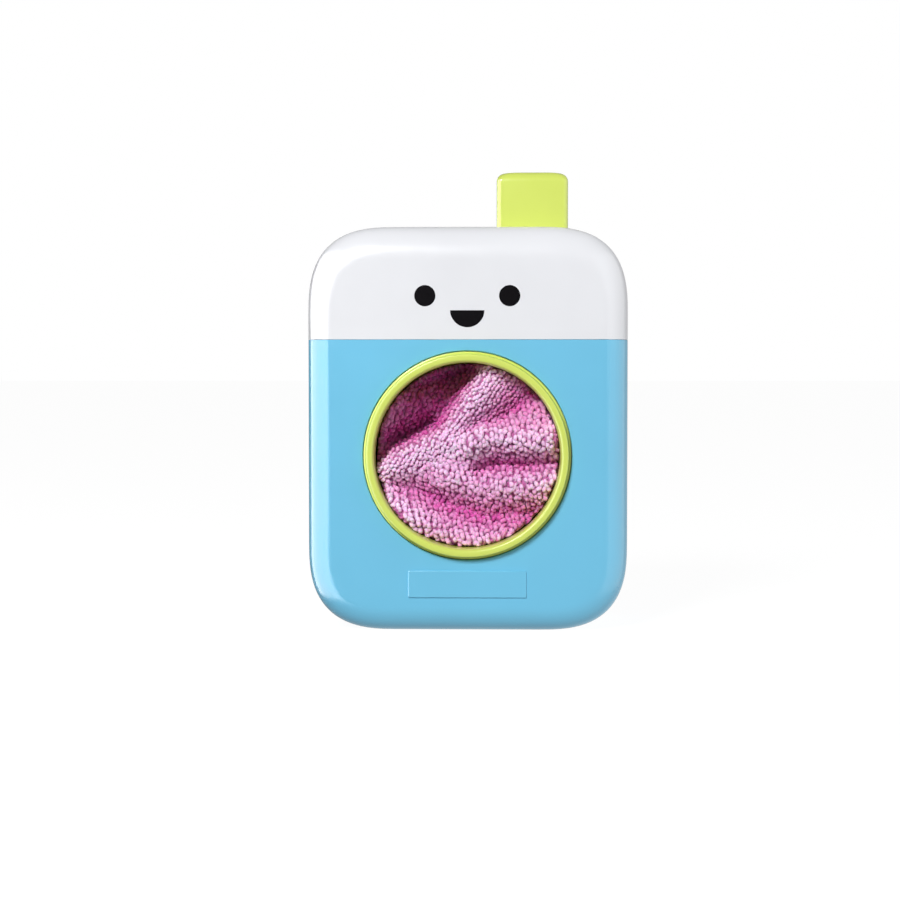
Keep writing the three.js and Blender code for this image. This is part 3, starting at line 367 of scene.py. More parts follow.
def moulded(name, colour, roughness, vary=0.03, **inputs):
    """Glossy injection-moulded plastic: faint flow clouds, slightly uneven gloss and a fine skin."""
    made, tree, shader = material(name, IOR=1.5, **inputs)
    darker = tuple(c * (1 - vary) for c in colour)
    lighter = tuple(min(c * (1 + vary), 1.0) for c in colour)
    clouds = spread(tree, noise(tree, scale=14.0, detail=3.0, roughness=0.55), 0, 1)
    tree.links.new(blend_colours(tree, clouds, darker, lighter), shader.inputs["Base Color"])
    gloss = noise(tree, scale=160.0, detail=4.0, roughness=0.6)
    tree.links.new(spread(tree, gloss, roughness * 0.85, roughness * 1.2), shader.inputs["Roughness"])
    bump(tree, shader, noise(tree, scale=900.0), strength=0.05, distance=0.00002)
    return made


def steel_material():
    """Bright zinc-plated steel with fine turning marks."""
    made, tree, shader = material("steel", Metallic=1.0)
    tone = spread(tree, noise(tree, scale=300.0, detail=4.0, roughness=0.6), 0, 1)
    tree.links.new(blend_colours(tree, tone, STEEL_DARK, STEEL_LIGHT), shader.inputs["Base Color"])
    gloss = noise(tree, scale=900.0, detail=3.0)
    tree.links.new(spread(tree, gloss, low=0.3, high=0.42), shader.inputs["Roughness"])
    marks = noise(tree, scale=1500.0, stretch=(1, 0.1, 1))
    bump(tree, shader, marks, strength=0.15, distance=0.00002)
    return made


def ink_material():
    """Pad-printed black ink: nearly smooth, with a faint grain."""
    made, tree, shader = material("black_ink", IOR=1.4, Specular_IOR_Level=0.05)
    grain = noise(tree, scale=2500.0, detail=3.0, roughness=0.6)
    colour = blend_colours(tree, spread(tree, grain, 0, 1), INK_DARK, INK_LIGHT)
    tree.links.new(colour, shader.inputs["Base Color"])
    gloss = noise(tree, scale=500.0, detail=3.0)
    tree.links.new(spread(tree, gloss, low=0.34, high=0.46), shader.inputs["Roughness"])
    bump(tree, shader, grain, strength=0.1, distance=0.00001)
    return made


def terry_material():
    """Dyed cotton: each loop has its own tone, partly random and partly painted light that brightens raised
    folds and darkens creases; each root has painted shade, darker than its crown.
    """
    made, tree, shader = material(
        "terry_loops", Roughness=0.95, IOR=1.4, Specular_IOR_Level=0.1,
        Sheen_Weight=0.1, Sheen_Roughness=0.5, Sheen_Tint=(*YARN_SHEEN, 1),
        Subsurface_Weight=0.5, Subsurface_Radius=(1.0, 0.45, 0.75), Subsurface_Scale=0.0012)
    # Painted fold light: the yarn turns brighter for loops on raised folds and stays darker in creases and
    # hollows
    yarn = blend_colours(tree, stored_value(tree, "loop_tone_and_fold_light"), YARN, YARN_PAINTED_HIGHLIGHT)
    # Painted shade: the yarn darkens from each loop's crown to its root and on the ground weave, where shade
    # falls between loops
    root_shaded = blend_colours(tree, stored_value(tree, "loop_root_shade"), YARN_DARK, yarn)
    fibres = noise(tree, scale=1500.0, detail=4.0, roughness=0.65)
    between = spread(tree, fibres, low=0.0, high=0.18, from_low=0.35, from_high=0.75)
    tree.links.new(blend_colours(tree, between, root_shaded, YARN_DARK), shader.inputs["Base Color"])
    relief = noise(tree, scale=2200.0, detail=4.0, roughness=0.65)
    bump(tree, shader, relief, strength=0.7, distance=0.0002)
    return made


white_plastic = moulded("white_plastic", WHITE, roughness=0.22)
blue_plastic = moulded("blue_plastic", BLUE, roughness=0.2)
lime_plastic = moulded("lime_plastic", LIME, roughness=0.22)
natural_plastic = moulded(
    "natural_plastic", NATURAL, roughness=0.42, vary=0.05,
    Subsurface_Weight=0.2, Subsurface_Radius=(1.0, 1.0, 0.5), Subsurface_Scale=0.001)
steel = steel_material()
ink = ink_material()
terry = terry_material()


def dress(made, mat, body, replaced=()):
    """Gives a piece its material, its body and the CAD nodes that it stands for."""
    made.data.materials.clear()
    made.data.materials.append(mat)
    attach(made, body)
    if replaced:
        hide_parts(*replaced)
    return made


# The casing

def pinched_core(ring, plane):
    """What a groove leaves of the casing: its section at a plane, pinched in the middle."""
    places = [(plane - 2 * GROOVE, -GROOVE), (plane, GROOVE), (plane + 2 * GROOVE, -GROOVE)]
    return loft("core", [ring(place, inset) for place, inset in places])


def seam_groove():
    """The V-shaped ring that the level seam under the cover takes out of the outer layer."""
    def ring(z, inset):
        half, deep = WIDTH / 2 - inset, DEPTH / 2 - inset
        outline = soft_rectangle(-half, half, -deep, deep, EDGE_DEPTH - inset, ROUND, SEAM_STEPS)
        return [(x, y, z) for x, y in outline]

    band = block("band", -SIDE, SIDE, FRONT - OUT, BACK + OUT, SEAM_HEIGHT - GROOVE, SEAM_HEIGHT + GROOVE)
    return combine(band, "DIFFERENCE", pinched_core(ring, SEAM_HEIGHT))


def parting_groove():
    """The V-shaped ring that the seam between the front and back shells takes out of the outer layer."""
    def ring(y, inset):
        half, reach = WIDTH / 2 - inset, CORNER_REACH - inset
        outline = soft_rectangle(-half, half, inset, HEIGHT - inset, reach, CORNER_POWER, CORNER_STEPS)
        return [(x, y, z) for x, z in outline]

    band = block("band", -SIDE, SIDE, PARTING_PLANE - GROOVE, PARTING_PLANE + GROOVE, -OUT, HEIGHT + OUT)
    return combine(band, "DIFFERENCE", pinched_core(ring, PARTING_PLANE))


def port_cutter():
    """Cuts the round port into the front, with a chamfer."""
    profile = [(PORT_RADIUS + PORT_CHAMFER + OUT, FRONT - OUT), (PORT_RADIUS, FRONT + PORT_CHAMFER),
               (PORT_RADIUS, FRONT + OUT)]
    return turned_solid("port", profile, 0, DRUM_HEIGHT, PORT_SIDES)


def drain_cutters():
    """Cut the row of drain holes into the base."""
    cutters = []
    for i in range(DRAIN_COUNT):
        outline = circle(DRAIN_RADIUS, (i - (DRAIN_COUNT - 1) / 2) * DRAIN_SPACING, DRAIN_Y, DRAIN_SIDES)
        cutters.append(loft("drain", [[(x, y, z) for x, y in outline] for z in (-OUT, OUT)]))
    return cutters


def well_cutters(screws, radius):
    """Cut the wells of some screws into the back, each with a chamfer."""
    profile = [(radius, WELL_FRONT), (radius, BACK - WELL_CHAMFER), (radius + WELL_CHAMFER + OUT, BACK + OUT)]
    middles = [middle_of(screw) for screw in screws]
    return [turned_solid("well", profile, x, z, WELL_SIDES) for x, _, z in middles]


def tab_ring(grow, z, corner, steps):
    """The tab's footprint at a height, grown by some distance."""
    half, deep = TAB_WIDTH / 2 + grow, TAB_DEPTH / 2 + grow
    outline = soft_rectangle(TAB_X - half, TAB_X + half, -deep, deep, corner, ROUND, steps)
    return [(x, y, z) for x, y in outline]


def tab_column(name, places):
    """A column through the tab's footprint, grown by a distance at each height."""
    return loft(name, [tab_ring(grow, z, TAB_CORNER + grow, COLUMN_STEPS) for grow, z in places])


def slot_cutter():
    """Cuts the tab's slot into the top, with a chamfer."""
    flared = SLOT_GAP + SLOT_CHAMFER + OUT
    places = [(SLOT_GAP, HEIGHT - SLOT_DEPTH), (SLOT_GAP, HEIGHT - SLOT_CHAMFER), (flared, HEIGHT + OUT)]
    return tab_column("slot", places)


def casing_shell(node, cuts, front=FRONT - OUT, back=BACK + OUT, low=-OUT, high=HEIGHT + OUT):
    """The fine outer layer of the casing between the given faces, joined to the CAD node's inner features."""
    skin = casing_body("outside", 0.0)
    combine(skin, "DIFFERENCE", casing_body("inside", SKIN))
    combine(skin, "INTERSECT", block("region", -SIDE, SIDE, front, back, low, high))
    combine(skin, "DIFFERENCE", *cuts)
    made = copy_of_node(node, f"{node}_skin")
    combine(made, "INTERSECT", casing_body("features", FEATURES_INSET))
    combine(made, "UNION", skin)
    return tidy(made)


CASE_SCREWS = [f"case_screw_{i}" for i in range(1, 5)]
COVER_SCREWS = [f"cover_screw_{i}" for i in range(1, 3)]
half_gap = SEAM_GAP / 2
below_seam, above_seam = SEAM_HEIGHT - half_gap, SEAM_HEIGHT + half_gap

front_cuts = [port_cutter(), seam_groove(), parting_groove(), *drain_cutters()]
front_shell = casing_shell("front_shell", front_cuts, back=PARTING_PLANE - half_gap, high=below_seam)
dress(front_shell, blue_plastic, "casing", ["front_shell"])

back_cuts = [seam_groove(), parting_groove(), *well_cutters(CASE_SCREWS, CASE_WELL_RADIUS)]
back_shell = casing_shell("back_shell", back_cuts, front=PARTING_PLANE + half_gap, high=below_seam)
dress(back_shell, blue_plastic, "casing", ["back_shell"])

cover_cuts = [seam_groove(), slot_cutter(), *well_cutters(COVER_SCREWS, COVER_WELL_RADIUS)]
top_cover = casing_shell("top_cover", cover_cuts, low=above_seam)
dress(top_cover, white_plastic, "casing", ["top_cover"])


# The press tab

CAP_LOW = 186.0  # from here up the tab is finer than the CAD's
CAP_OVERLAP = 2.0
HOLLOW_BELOW = 1.0  # how far the cutter of the hollow starts under the cap
CAP_PROUD = 0.01  # how far the finer part stands out of the CAD's
CAP_WALL, CAP_CEILING = 1.6, 2.6
CAP_STEPS, CAP_CORNER_STEPS = 14, 10
CAP_SHARP = 24.0  # degrees
TOP_BORDER = 0.04


def press_tab():
    """The CAD's foot and stem under a finer hollow cap with a rounded top."""
    places = [(0.0, CAP_LOW)]
    for i in range(CAP_STEPS + 1):
        angle = i / CAP_STEPS * math.pi / 2
        places.append((TAB_ROUNDING * (1 - math.cos(angle)),
                       TAB_TOP + CAP_PROUD - TAB_ROUNDING * (1 - math.sin(angle))))
    cap = loft("cap", [tab_ring(CAP_PROUD - inset, z, TAB_CORNER + inset, CAP_CORNER_STEPS)
                       for inset, z in places], TOP_BORDER)
    hollow = tab_column("hollow", [(-CAP_WALL, CAP_LOW - HOLLOW_BELOW), (-CAP_WALL, TAB_TOP - CAP_CEILING)])
    combine(cap, "DIFFERENCE", hollow)
    made = copy_of_node("press_tab", "press_tab_fine")
    combine(made, "INTERSECT", block("foot", -SIDE, SIDE, FRONT, BACK, 0, CAP_LOW + CAP_OVERLAP))
    combine(made, "UNION", cap)
    return tidy(made, CAP_SHARP)


dress(press_tab(), lime_plastic, "plunger", ["press_tab"])


# The spring under the tab

SPRING_RADIUS, WIRE_RADIUS, SPRING_TURNS = 6.0, 0.5, 9
END_PITCH = 1.15  # of the closed turn at each end
TURN_STEPS, WIRE_SIDES = 28, 10

spring_low, spring_high = (corner[2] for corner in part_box("return_spring"))


def return_spring():
    """A helix with a closed turn at each end, between the gear plate's shelf and the tab's ceiling."""
    low, high = spring_low / MM + WIRE_RADIUS, spring_high / MM - WIRE_RADIUS
    open_turns = SPRING_TURNS - 2
    pitch = (high - low - 2 * END_PITCH) / open_turns
    rings = []
    for i in range(SPRING_TURNS * TURN_STEPS + 1):
        turn = i / TURN_STEPS
        angle = 2 * math.pi * turn
        closed = min(turn, 1.0) + max(turn - SPRING_TURNS + 1, 0.0)
        height = low + closed * END_PITCH + min(max(turn - 1, 0.0), open_turns) * pitch
        section = circle(WIRE_RADIUS, SPRING_RADIUS, height, WIRE_SIDES)
        rings.append([(TAB_X + out * math.cos(angle), out * math.sin(angle), z) for out, z in section])
    return loft("return_spring_fine", rings)


spring = dress(return_spring(), steel, "casing", ["return_spring"])
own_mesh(spring)


# The ring round the window

WINDOW_RADIUS, RING_FRONT, RING_BACK, SKIRT_END = 46.1, -47.0, -40.0, -34.0
BEAD_INNER, BEAD_INNER_DEEP, BEAD_OUTER = 1.7, 3.6, 0.6  # how the bead is rounded, at the window and outside
BEAD_CROWN, BEAD_CROWN_STEPS = 0.1, 12
BEAD_INNER_STEPS, FLANGE_STEPS = 16, 8
BEAD_STRAIGHT = 0.4  # of the window's wall, before the bead's rounding starts
WALL_RADIUS, WALL_DRAFT, WALL_BACK = 50.2, 0.15, FRONT - 0.3
FLANGE_RADIUS, SKIRT_THICKNESS, RING_SIDES = 51.6, 1.8, 192
LUG_COUNT, LUG_INNER, LUG_OUTER, LUG_HALF_WIDTH = 4, 47.0, 49.1, 4.0
LUG_FRONT, LUG_BACK = SKIRT_END - 2.4, SKIRT_END - 0.8


def drum_ring():
    """The bead round the window, its flange and skirt, and the four snap lugs."""
    inner_centre, outer_centre = WINDOW_RADIUS + BEAD_INNER, WALL_RADIUS - BEAD_OUTER
    shoulder = RING_FRONT + BEAD_CROWN
    inner_y = shoulder + BEAD_INNER_DEEP
    forward = 1.5 * math.pi
    crown = []
    for i in range(1, BEAD_CROWN_STEPS):
        share = i / BEAD_CROWN_STEPS
        crown.append((inner_centre + (outer_centre - inner_centre) * share,
                      shoulder - BEAD_CROWN * (1 - (2 * share - 1) ** 2)))
    wall_end = WALL_RADIUS + WALL_DRAFT
    skirt_radius = WINDOW_RADIUS + SKIRT_THICKNESS
    profile = [
        (WINDOW_RADIUS, SKIRT_END),
        (WINDOW_RADIUS, inner_y + BEAD_STRAIGHT),
        *arc(inner_centre, inner_y, BEAD_INNER, math.pi, forward, BEAD_INNER_STEPS, BEAD_INNER_DEEP),
        *crown,
        *arc(outer_centre, shoulder + BEAD_OUTER, BEAD_OUTER, forward, 2 * math.pi),
        (wall_end, WALL_BACK),
        *arc(FLANGE_RADIUS, WALL_BACK, FLANGE_RADIUS - wall_end, math.pi, math.pi / 2, FLANGE_STEPS)[1:],
        (FLANGE_RADIUS, RING_BACK),
        (skirt_radius, RING_BACK),
        (skirt_radius, SKIRT_END),
    ]
    made = turned_ring("drum_ring_fine", profile, DRUM_HEIGHT, RING_SIDES)
    for i in range(LUG_COUNT):
        angle = 2 * math.pi * (i + 0.5) / LUG_COUNT
        lug = block("lug", LUG_INNER, LUG_OUTER, LUG_FRONT, LUG_BACK, -LUG_HALF_WIDTH, LUG_HALF_WIDTH)
        for vertex in lug.data.vertices:
            x, y, z = vertex.co
            vertex.co = (x * math.cos(angle) - z * math.sin(angle), y,
                         x * math.sin(angle) + z * math.cos(angle) + DRUM_HEIGHT * MM)
        combine(made, "UNION", lug)
    return tidy(made)


dress(drum_ring(), lime_plastic, "drum", ["drum_ring"])


# The terry cloth

CLOTH_RADIUS, CLOTH_FRONT, CLOTH_BACK = 45.6, FRONT + 11.5, 1.9
SIDE_RADIUS = 44.2  # the ground weave on the cloth's side, under the pile
EDGE_ROLL, EDGE_POWER = 1.5, 9.0  # how far the edge rolls back, and how suddenly
# Each fold: the line that it follows from the middle of the window, how far it stands towards the viewer,
# and how wide it is on the left and on the right of that line, all as shares of the cloth's radius.
CREASE = [(-1.15, -0.1), (-0.74, 0.16), (-0.5, 0.29), (-0.32, 0.4), (-0.19, 0.64), (0.03, 0.94), (0.12, 1.15)]
FOLDS = [
    (CREASE, -0.34, 0.3, 0.12),
    ([(-0.84, 0.15), (-0.62, 0.23), (-0.42, 0.35)], -0.22, 0.11, 0.07),
    ([(-0.75, 0), (-0.3, 0.2), (-0.1, 0.42), (0.06, 0.68), (0.22, 1.1)], 0.23, 0.14, 0.28),
    ([(0.05, 0.28), (0.21, 0.35), (0.37, 0.4), (0.6, 0.57), (1.1, 0.85)], -0.15, 0.17, 0.07),
    ([(0.04, 0.14), (0.2, 0.22), (0.4, 0.2), (0.6, 0.16), (1.1, 0.18)], 0.2, 0.11, 0.16),
    ([(0.1, -0.17), (0.32, -0.1), (0.84, -0.1), (1.15, -0.06)], -0.17, 0.1, 0.1),
    ([(-0.2, -0.24), (0.3, -0.32), (0.7, -0.32), (1.1, -0.24)], 0.13, 0.14, 0.16),
    ([(-1.15, -0.3), (-0.6, -0.36), (-0.2, -0.55), (0.2, -0.68), (1, -0.62)], -0.16, 0.12, 0.2),
    ([(-1, -0.55), (-0.5, -0.75), (0, -0.92), (0.5, -1)], 0.12, 0.16, 0.16),
    ([(-0.62, 0.74), (-0.25, 0.86), (-0.05, 0.95)], -0.26, 0.22, 0.12),
    ([(-1, 0.3), (-1.03, 0), (-1, -0.3), (-0.8, -0.7)], 0.2, 0.26, 0.26),
    ([(0.2, -1.02), (0.8, -0.62), (1.04, 0.05), (0.95, 0.5)], 0.05, 0.24, 0.24),
]
FOLD_POWER = 1.6  # how a fold's flanks fall off
FOLD_BLEND = 0.03  # how wide the change is from its left width to its right one
FAR_AWAY = 1e9

# The ground weave's mesh, its pleats along the side and its gathered mouth at the back
SECTORS, FRONT_RINGS, SIDE_RINGS, BACK_RINGS = 160, 70, 12, 8
PLEATS, PLEAT_HEIGHT, PLEAT_TWIST = 17, 0.5, 2.0
MOUTH_RADIUS, BACK_ROUND, MOUTH_INSET, MOUTH_WAVE = 30.0, 8.0, 0.8, 0.7
# The ground weave's second value is painted shade under the pile, as at a loop's root
GROUND_TONE, GROUND_ROOT_SHADE = 0.3, 0.5


def beside(line, x, z):
    """How far places are from a line of points, and how far they lie to the left of its nearest stretch."""
    nearest = np.full_like(x, FAR_AWAY)
    aside = np.zeros_like(x)
    for (ax, az), (bx, bz) in zip(line, line[1:]):
        dx, dz = bx - ax, bz - az
        length = math.hypot(dx, dz)
        along = np.clip(((x - ax) * dx + (z - az) * dz) / length ** 2, 0, 1)
        px, pz = x - ax - along * dx, z - az - along * dz
        far = np.hypot(px, pz)
        closer = far < nearest
        nearest = np.where(closer, far, nearest)
        aside = np.where(closer, (dx * pz - dz * px) / length, aside)
    return nearest, aside


def fold_height(x, z):
    """How far the folds raise the cloth towards the viewer; x and z are arrays in millimetres."""
    x, z = x / CLOTH_RADIUS, z / CLOTH_RADIUS
    total = np.zeros_like(x)
    for line, high, left_width, right_width in FOLDS:
        far, aside = beside(line, x, z)
        left_share = (1 + np.tanh(aside / FOLD_BLEND)) / 2
        width = left_width * left_share + right_width * (1 - left_share)
        total += high * np.exp(-((far / width) ** FOLD_POWER))
    return total * CLOTH_RADIUS


def cloth_front(x, z):
    """The depth of the cloth's front, in millimetres."""
    radius = np.hypot(x, z) / CLOTH_RADIUS
    return CLOTH_FRONT + EDGE_ROLL * radius ** EDGE_POWER - fold_height(x, z)


def washcloth():
    """The ground weave: folded front, rolled edge, pleated side and a gathered mouth at the back."""
    angles = np.arange(SECTORS) * 2 * math.pi / SECTORS
    across, up = np.cos(angles), np.sin(angles)
    waves = MOUTH_WAVE * np.sin(angles * PLEATS)
    edge = cloth_front(CLOTH_RADIUS * across, CLOTH_RADIUS * up)
    vertices = []
    for i in range(FRONT_RINGS):
        radius = CLOTH_RADIUS * (i + 0.5) / FRONT_RINGS
        x, z = radius * across, radius * up
        vertices += list(zip(x, cloth_front(x, z), z + DRUM_HEIGHT))
    for i in range(SIDE_RINGS):
        share = i / (SIDE_RINGS - 1)
        y = edge + (CLOTH_BACK - BACK_ROUND - edge) * share
        pleat = PLEAT_HEIGHT * np.sin(angles * PLEATS + PLEAT_TWIST * share) * math.sin(math.pi * share)
        radius = SIDE_RADIUS + pleat
        vertices += list(zip(radius * across, y, radius * up + DRUM_HEIGHT))
    for i in range(1, BACK_RINGS + 1):
        share = i / BACK_RINGS
        turn = min(share * 2, 1.0) * math.pi / 2
        gathered = max(share - 0.5, 0) * 2 * (SIDE_RADIUS - BACK_ROUND - MOUTH_RADIUS)
        radius = SIDE_RADIUS - BACK_ROUND * (1 - math.cos(turn)) - gathered
        y = CLOTH_BACK - BACK_ROUND * (1 - math.sin(turn)) - MOUTH_INSET + waves
        vertices += list(zip(radius * across, y, radius * up + DRUM_HEIGHT))
    faces = [tuple(range(SECTORS - 1, -1, -1))]
    for k in range(FRONT_RINGS + SIDE_RINGS + BACK_RINGS - 1):
        here, there = k * SECTORS, (k + 1) * SECTORS
        for i in range(SECTORS):
            following = (i + 1) % SECTORS
            faces.append((here + i, here + following, there + following, there + i))
    made = new_object("washcloth_sheet", [tuple(map(float, v)) for v in vertices], faces)
    with edited(made.data) as bm:
        bmesh.ops.triangulate(bm, faces=[f for f in bm.faces if len(f.verts) > 4])
    for name, value in (("loop_tone_and_fold_light", GROUND_TONE), ("loop_root_shade", GROUND_ROOT_SHADE)):
        set_values(made, name, np.full(len(made.data.vertices), value))
    shade_smooth(made)
    return made


# Each stretch of pile: the way that its ribs run, from rib to rib, from loop to loop along one, the shift of
# the two columns of loops that make a rib, and the thickness of the yarn, in radians and millimetres.
BESIDE_CREASE = (0.34, 3.6, 2.25, 0.78, 0.92)
ON_SLOPE = (0.6, 1.75, 1.95, 0.0, 0.82)
ON_LOBE = (-0.15, 2.25, 2.15, 0.0, 1.08)
BELOW = (-0.3, 2.4, 2.15, 0.0, 1.05)
STRETCHES = (BESIDE_CREASE, ON_SLOPE, ON_LOBE, BELOW)
UPPER_LINE = [(-1.3, -0.35), (-0.3, -0.05), (0.05, 0.28), (0.21, 0.35), (0.37, 0.4), (0.6, 0.57), (1.1, 0.85)]
LOWER_LINE = [(-1.3, -0.55), (-0.3, -0.35), (0.1, -0.17), (0.32, -0.1), (0.84, -0.1), (1.3, -0.06)]
GRID_REACH = 60.0  # the ribs are laid this far from the middle, and what is outside the window left out
JITTER = 0.24  # how far a loop may be from its place, as a share of the distance between loops
PILE_MARGIN = 0.4  # from the cloth's edge to the outermost loops
PILE_RADIUS = 45.85  # nothing of the pile reaches farther out
SLOPE_STEP = 0.6  # how far to either side of a place the cloth's slope is measured
LEAST_RADIUS = 1e-6

# A loop of yarn: where its arch starts and how far it goes, in half turns, and how much thinner its ends are
YARN_SIDES, YARN_STEPS = 7, 7
ARCH_START, ARCH_TURN, ARCH_THINNED = -0.16, 1.32, 0.18
YARN_SPREAD = 1.08  # how much wider the yarn is across the loop

# How loops differ: the spread of the slopes that they lean and swing by, the range of their thickness, and
# those of their span and height as shares of it
LEAN, SWING = 0.4, 0.42
THICKNESS_RANGE, SPAN_RANGE, HEIGHT_RANGE = (0.88, 1.12), (0.75, 1.15), (0.9, 1.6)
ROOT_UNSHADED_SHARE = 0.6  # how much of the yarn's own colour a root keeps under its painted shade
# A loop's tone: a random part, and painted light that rises with the height of the fold that it stands on,
# lighter on raised folds and darker in creases
TONE_RANGE, TONE_BASE, FOLD_LIGHT_RISE, FOLD_LIGHT_POWER = 0.12, 0.04, 0.92, 1.5
FOLD_LIGHT_SPAN = 8.0  # from this far below the cloth's plane to this far above it the painted fold light rises

# The pile round the side
SIDE_PITCH, SIDE_ROWS, SIDE_YARN, SIDE_TONES = 2.45, 22, 0.9, (0.15, 0.5)
SIDE_START, SIDE_END = 1.2, 5.0  # from the front's edge and from the back


def stretch_of(x, z):
    """Which stretch of pile each place belongs to, as its place in STRETCHES."""
    x, z = x / CLOTH_RADIUS, z / CLOTH_RADIUS
    left_of_crease = beside(CREASE, x, z)[1] > 0
    above = beside(UPPER_LINE, x, z)[1] > 0
    high = beside(LOWER_LINE, x, z)[1] > 0
    return np.where(left_of_crease & high, 0, np.where(above, 1, np.where(high, 2, 3)))


def rib_places(rng, lean, rib_pitch, loop_pitch, shift):
    """The places of loops laid in ribs, before any is left out, and the way that the ribs run."""
    along = np.array([math.sin(lean), math.cos(lean)])
    across = np.array([along[1], -along[0]])
    ribs, rows = int(GRID_REACH / rib_pitch), int(GRID_REACH / loop_pitch)
    i, j = (a.ravel() for a in np.meshgrid(np.arange(-ribs, ribs + 1), np.arange(-rows, rows + 1)))
    columns = (-shift, shift) if shift else (0.0,)
    places = []
    for number, column in enumerate(columns):
        stagger = 0.5 * ((i + number) % 2)
        place = (i * rib_pitch + column)[:, None] * across + ((j + stagger) * loop_pitch)[:, None] * along
        places.append(place + rng.uniform(-JITTER, JITTER, place.shape) * loop_pitch)
    return np.concatenate(places), along


def yarn_arch():
    """An arch of yarn with closed ends: each point's place on the arch, its offset there, and triangles."""
    points = []
    for k in range(YARN_STEPS + 1):
        turn = math.pi * (ARCH_START + ARCH_TURN * k / YARN_STEPS)
        thin = 1 - ARCH_THINNED + ARCH_THINNED * max(math.sin(turn), 0.0)
        for out, aside in circle(thin, 0, 0, YARN_SIDES):
            points.append((math.cos(turn), math.sin(turn), out * math.cos(turn), out * math.sin(turn), aside))
    triangles = []
    for k in range(YARN_STEPS):
        for s in range(YARN_SIDES):
            a, b = k * YARN_SIDES + s, k * YARN_SIDES + (s + 1) % YARN_SIDES
            triangles.append((a, b, b + YARN_SIDES))
            triangles.append((a, b + YARN_SIDES, a + YARN_SIDES))
    last = YARN_STEPS * YARN_SIDES
    for s in range(1, YARN_SIDES - 1):
        triangles.append((0, s + 1, s))
        triangles.append((last, last + s, last + s + 1))
    return np.array(points), np.array(triangles)


def unit(vectors):
    """Vectors of length 1."""
    return vectors / np.linalg.norm(vectors, axis=1, keepdims=True)


def across_to(vectors, normal):
    """What is left of vectors once their share along a normal is taken away."""
    return vectors - (vectors * normal).sum(1, keepdims=True) * normal


def loops_mesh(name, rng, centre, normal, along, yarn):
    """Loops of yarn that stand on a surface, their spans roughly along its ribs."""
    number = len(centre)
    up = unit(normal + across_to(rng.normal(0, LEAN, (number, 3)), normal))
    span = unit(across_to(along + rng.normal(0, SWING, (number, 3)), up))
    side = np.cross(up, span)
    arch, triangles = yarn_arch()
    thickness = (yarn * rng.uniform(*THICKNESS_RANGE, number))[:, None]
    half_span = thickness * rng.uniform(*SPAN_RANGE, (number, 1))
    height = thickness * rng.uniform(*HEIGHT_RANGE, (number, 1))
    reach = half_span * arch[:, 0] + thickness * arch[:, 2]
    rise = height * arch[:, 1] + thickness * arch[:, 3]
    aside = thickness * arch[:, 4] * YARN_SPREAD
    points = (centre[:, None] + span[:, None] * reach[..., None] + up[:, None] * rise[..., None]
              + side[:, None] * aside[..., None])
    out = np.hypot(points[..., 0], points[..., 2] - DRUM_HEIGHT)
    kept = np.minimum(1.0, PILE_RADIUS / np.maximum(out, LEAST_RADIUS))
    points[..., 0] *= kept
    points[..., 2] = DRUM_HEIGHT + (points[..., 2] - DRUM_HEIGHT) * kept
    faces = (triangles[None] + np.arange(number)[:, None, None] * len(arch)).reshape(-1, 3)
    made = new_object(name, points.reshape(-1, 3).tolist(), faces.tolist())
    # Painted shade, darkest at the root of each loop where the loops shade each other
    crown = ROOT_UNSHADED_SHARE + (1 - ROOT_UNSHADED_SHARE) * np.clip(rise / (height + thickness), 0, 1)
    set_values(made, "loop_root_shade", crown.reshape(-1))
    shade_smooth(made)
    return made


def set_loop_tones(made, tone):
    """Gives every point of a loop the loop's own tone, which on the front pile includes painted fold light.
    """
    set_values(made, "loop_tone_and_fold_light", np.repeat(tone, len(made.data.vertices) // len(tone)))
    return made


def front_pile():
    """The pile that shows in the window, in ribs whose way and spacing change from fold to fold."""
    rng = np.random.default_rng(SEED)
    places, ways, yarns = [], [], []
    for number, (lean, rib_pitch, loop_pitch, shift, yarn) in enumerate(STRETCHES):
        place, way = rib_places(rng, lean, rib_pitch, loop_pitch, shift)
        x, z = place.T
        kept = (np.hypot(x, z) < CLOTH_RADIUS - PILE_MARGIN) & (stretch_of(x, z) == number)
        places.append(place[kept])
        ways.append(np.tile(way, (kept.sum(), 1)))
        yarns.append(np.full(kept.sum(), yarn))
    x, z = np.concatenate(places).T
    way_x, way_z = np.concatenate(ways).T
    yarn = np.concatenate(yarns)
    step = SLOPE_STEP
    slope_x = (cloth_front(x + step, z) - cloth_front(x - step, z)) / (2 * step)
    slope_z = (cloth_front(x, z + step) - cloth_front(x, z - step)) / (2 * step)
    normal = unit(np.stack([slope_x, -np.ones_like(x), slope_z], 1))
    centre = np.stack([x, cloth_front(x, z), z + DRUM_HEIGHT], 1)
    along = unit(np.stack([way_x, slope_x * way_x + slope_z * way_z, way_z], 1))
    made = loops_mesh("washcloth_loops", rng, centre, normal, along, yarn)
    # Painted light: the tone rises with the fold's height, a painted highlight on raised folds and painted
    # shade in creases
    raised = np.clip((fold_height(x, z) + FOLD_LIGHT_SPAN) / (2 * FOLD_LIGHT_SPAN), 0, 1)
    tone = rng.uniform(-TONE_RANGE, TONE_RANGE, len(x)) + TONE_BASE + FOLD_LIGHT_RISE * raised ** FOLD_LIGHT_POWER
    return set_loop_tones(made, np.clip(tone, 0, 1))


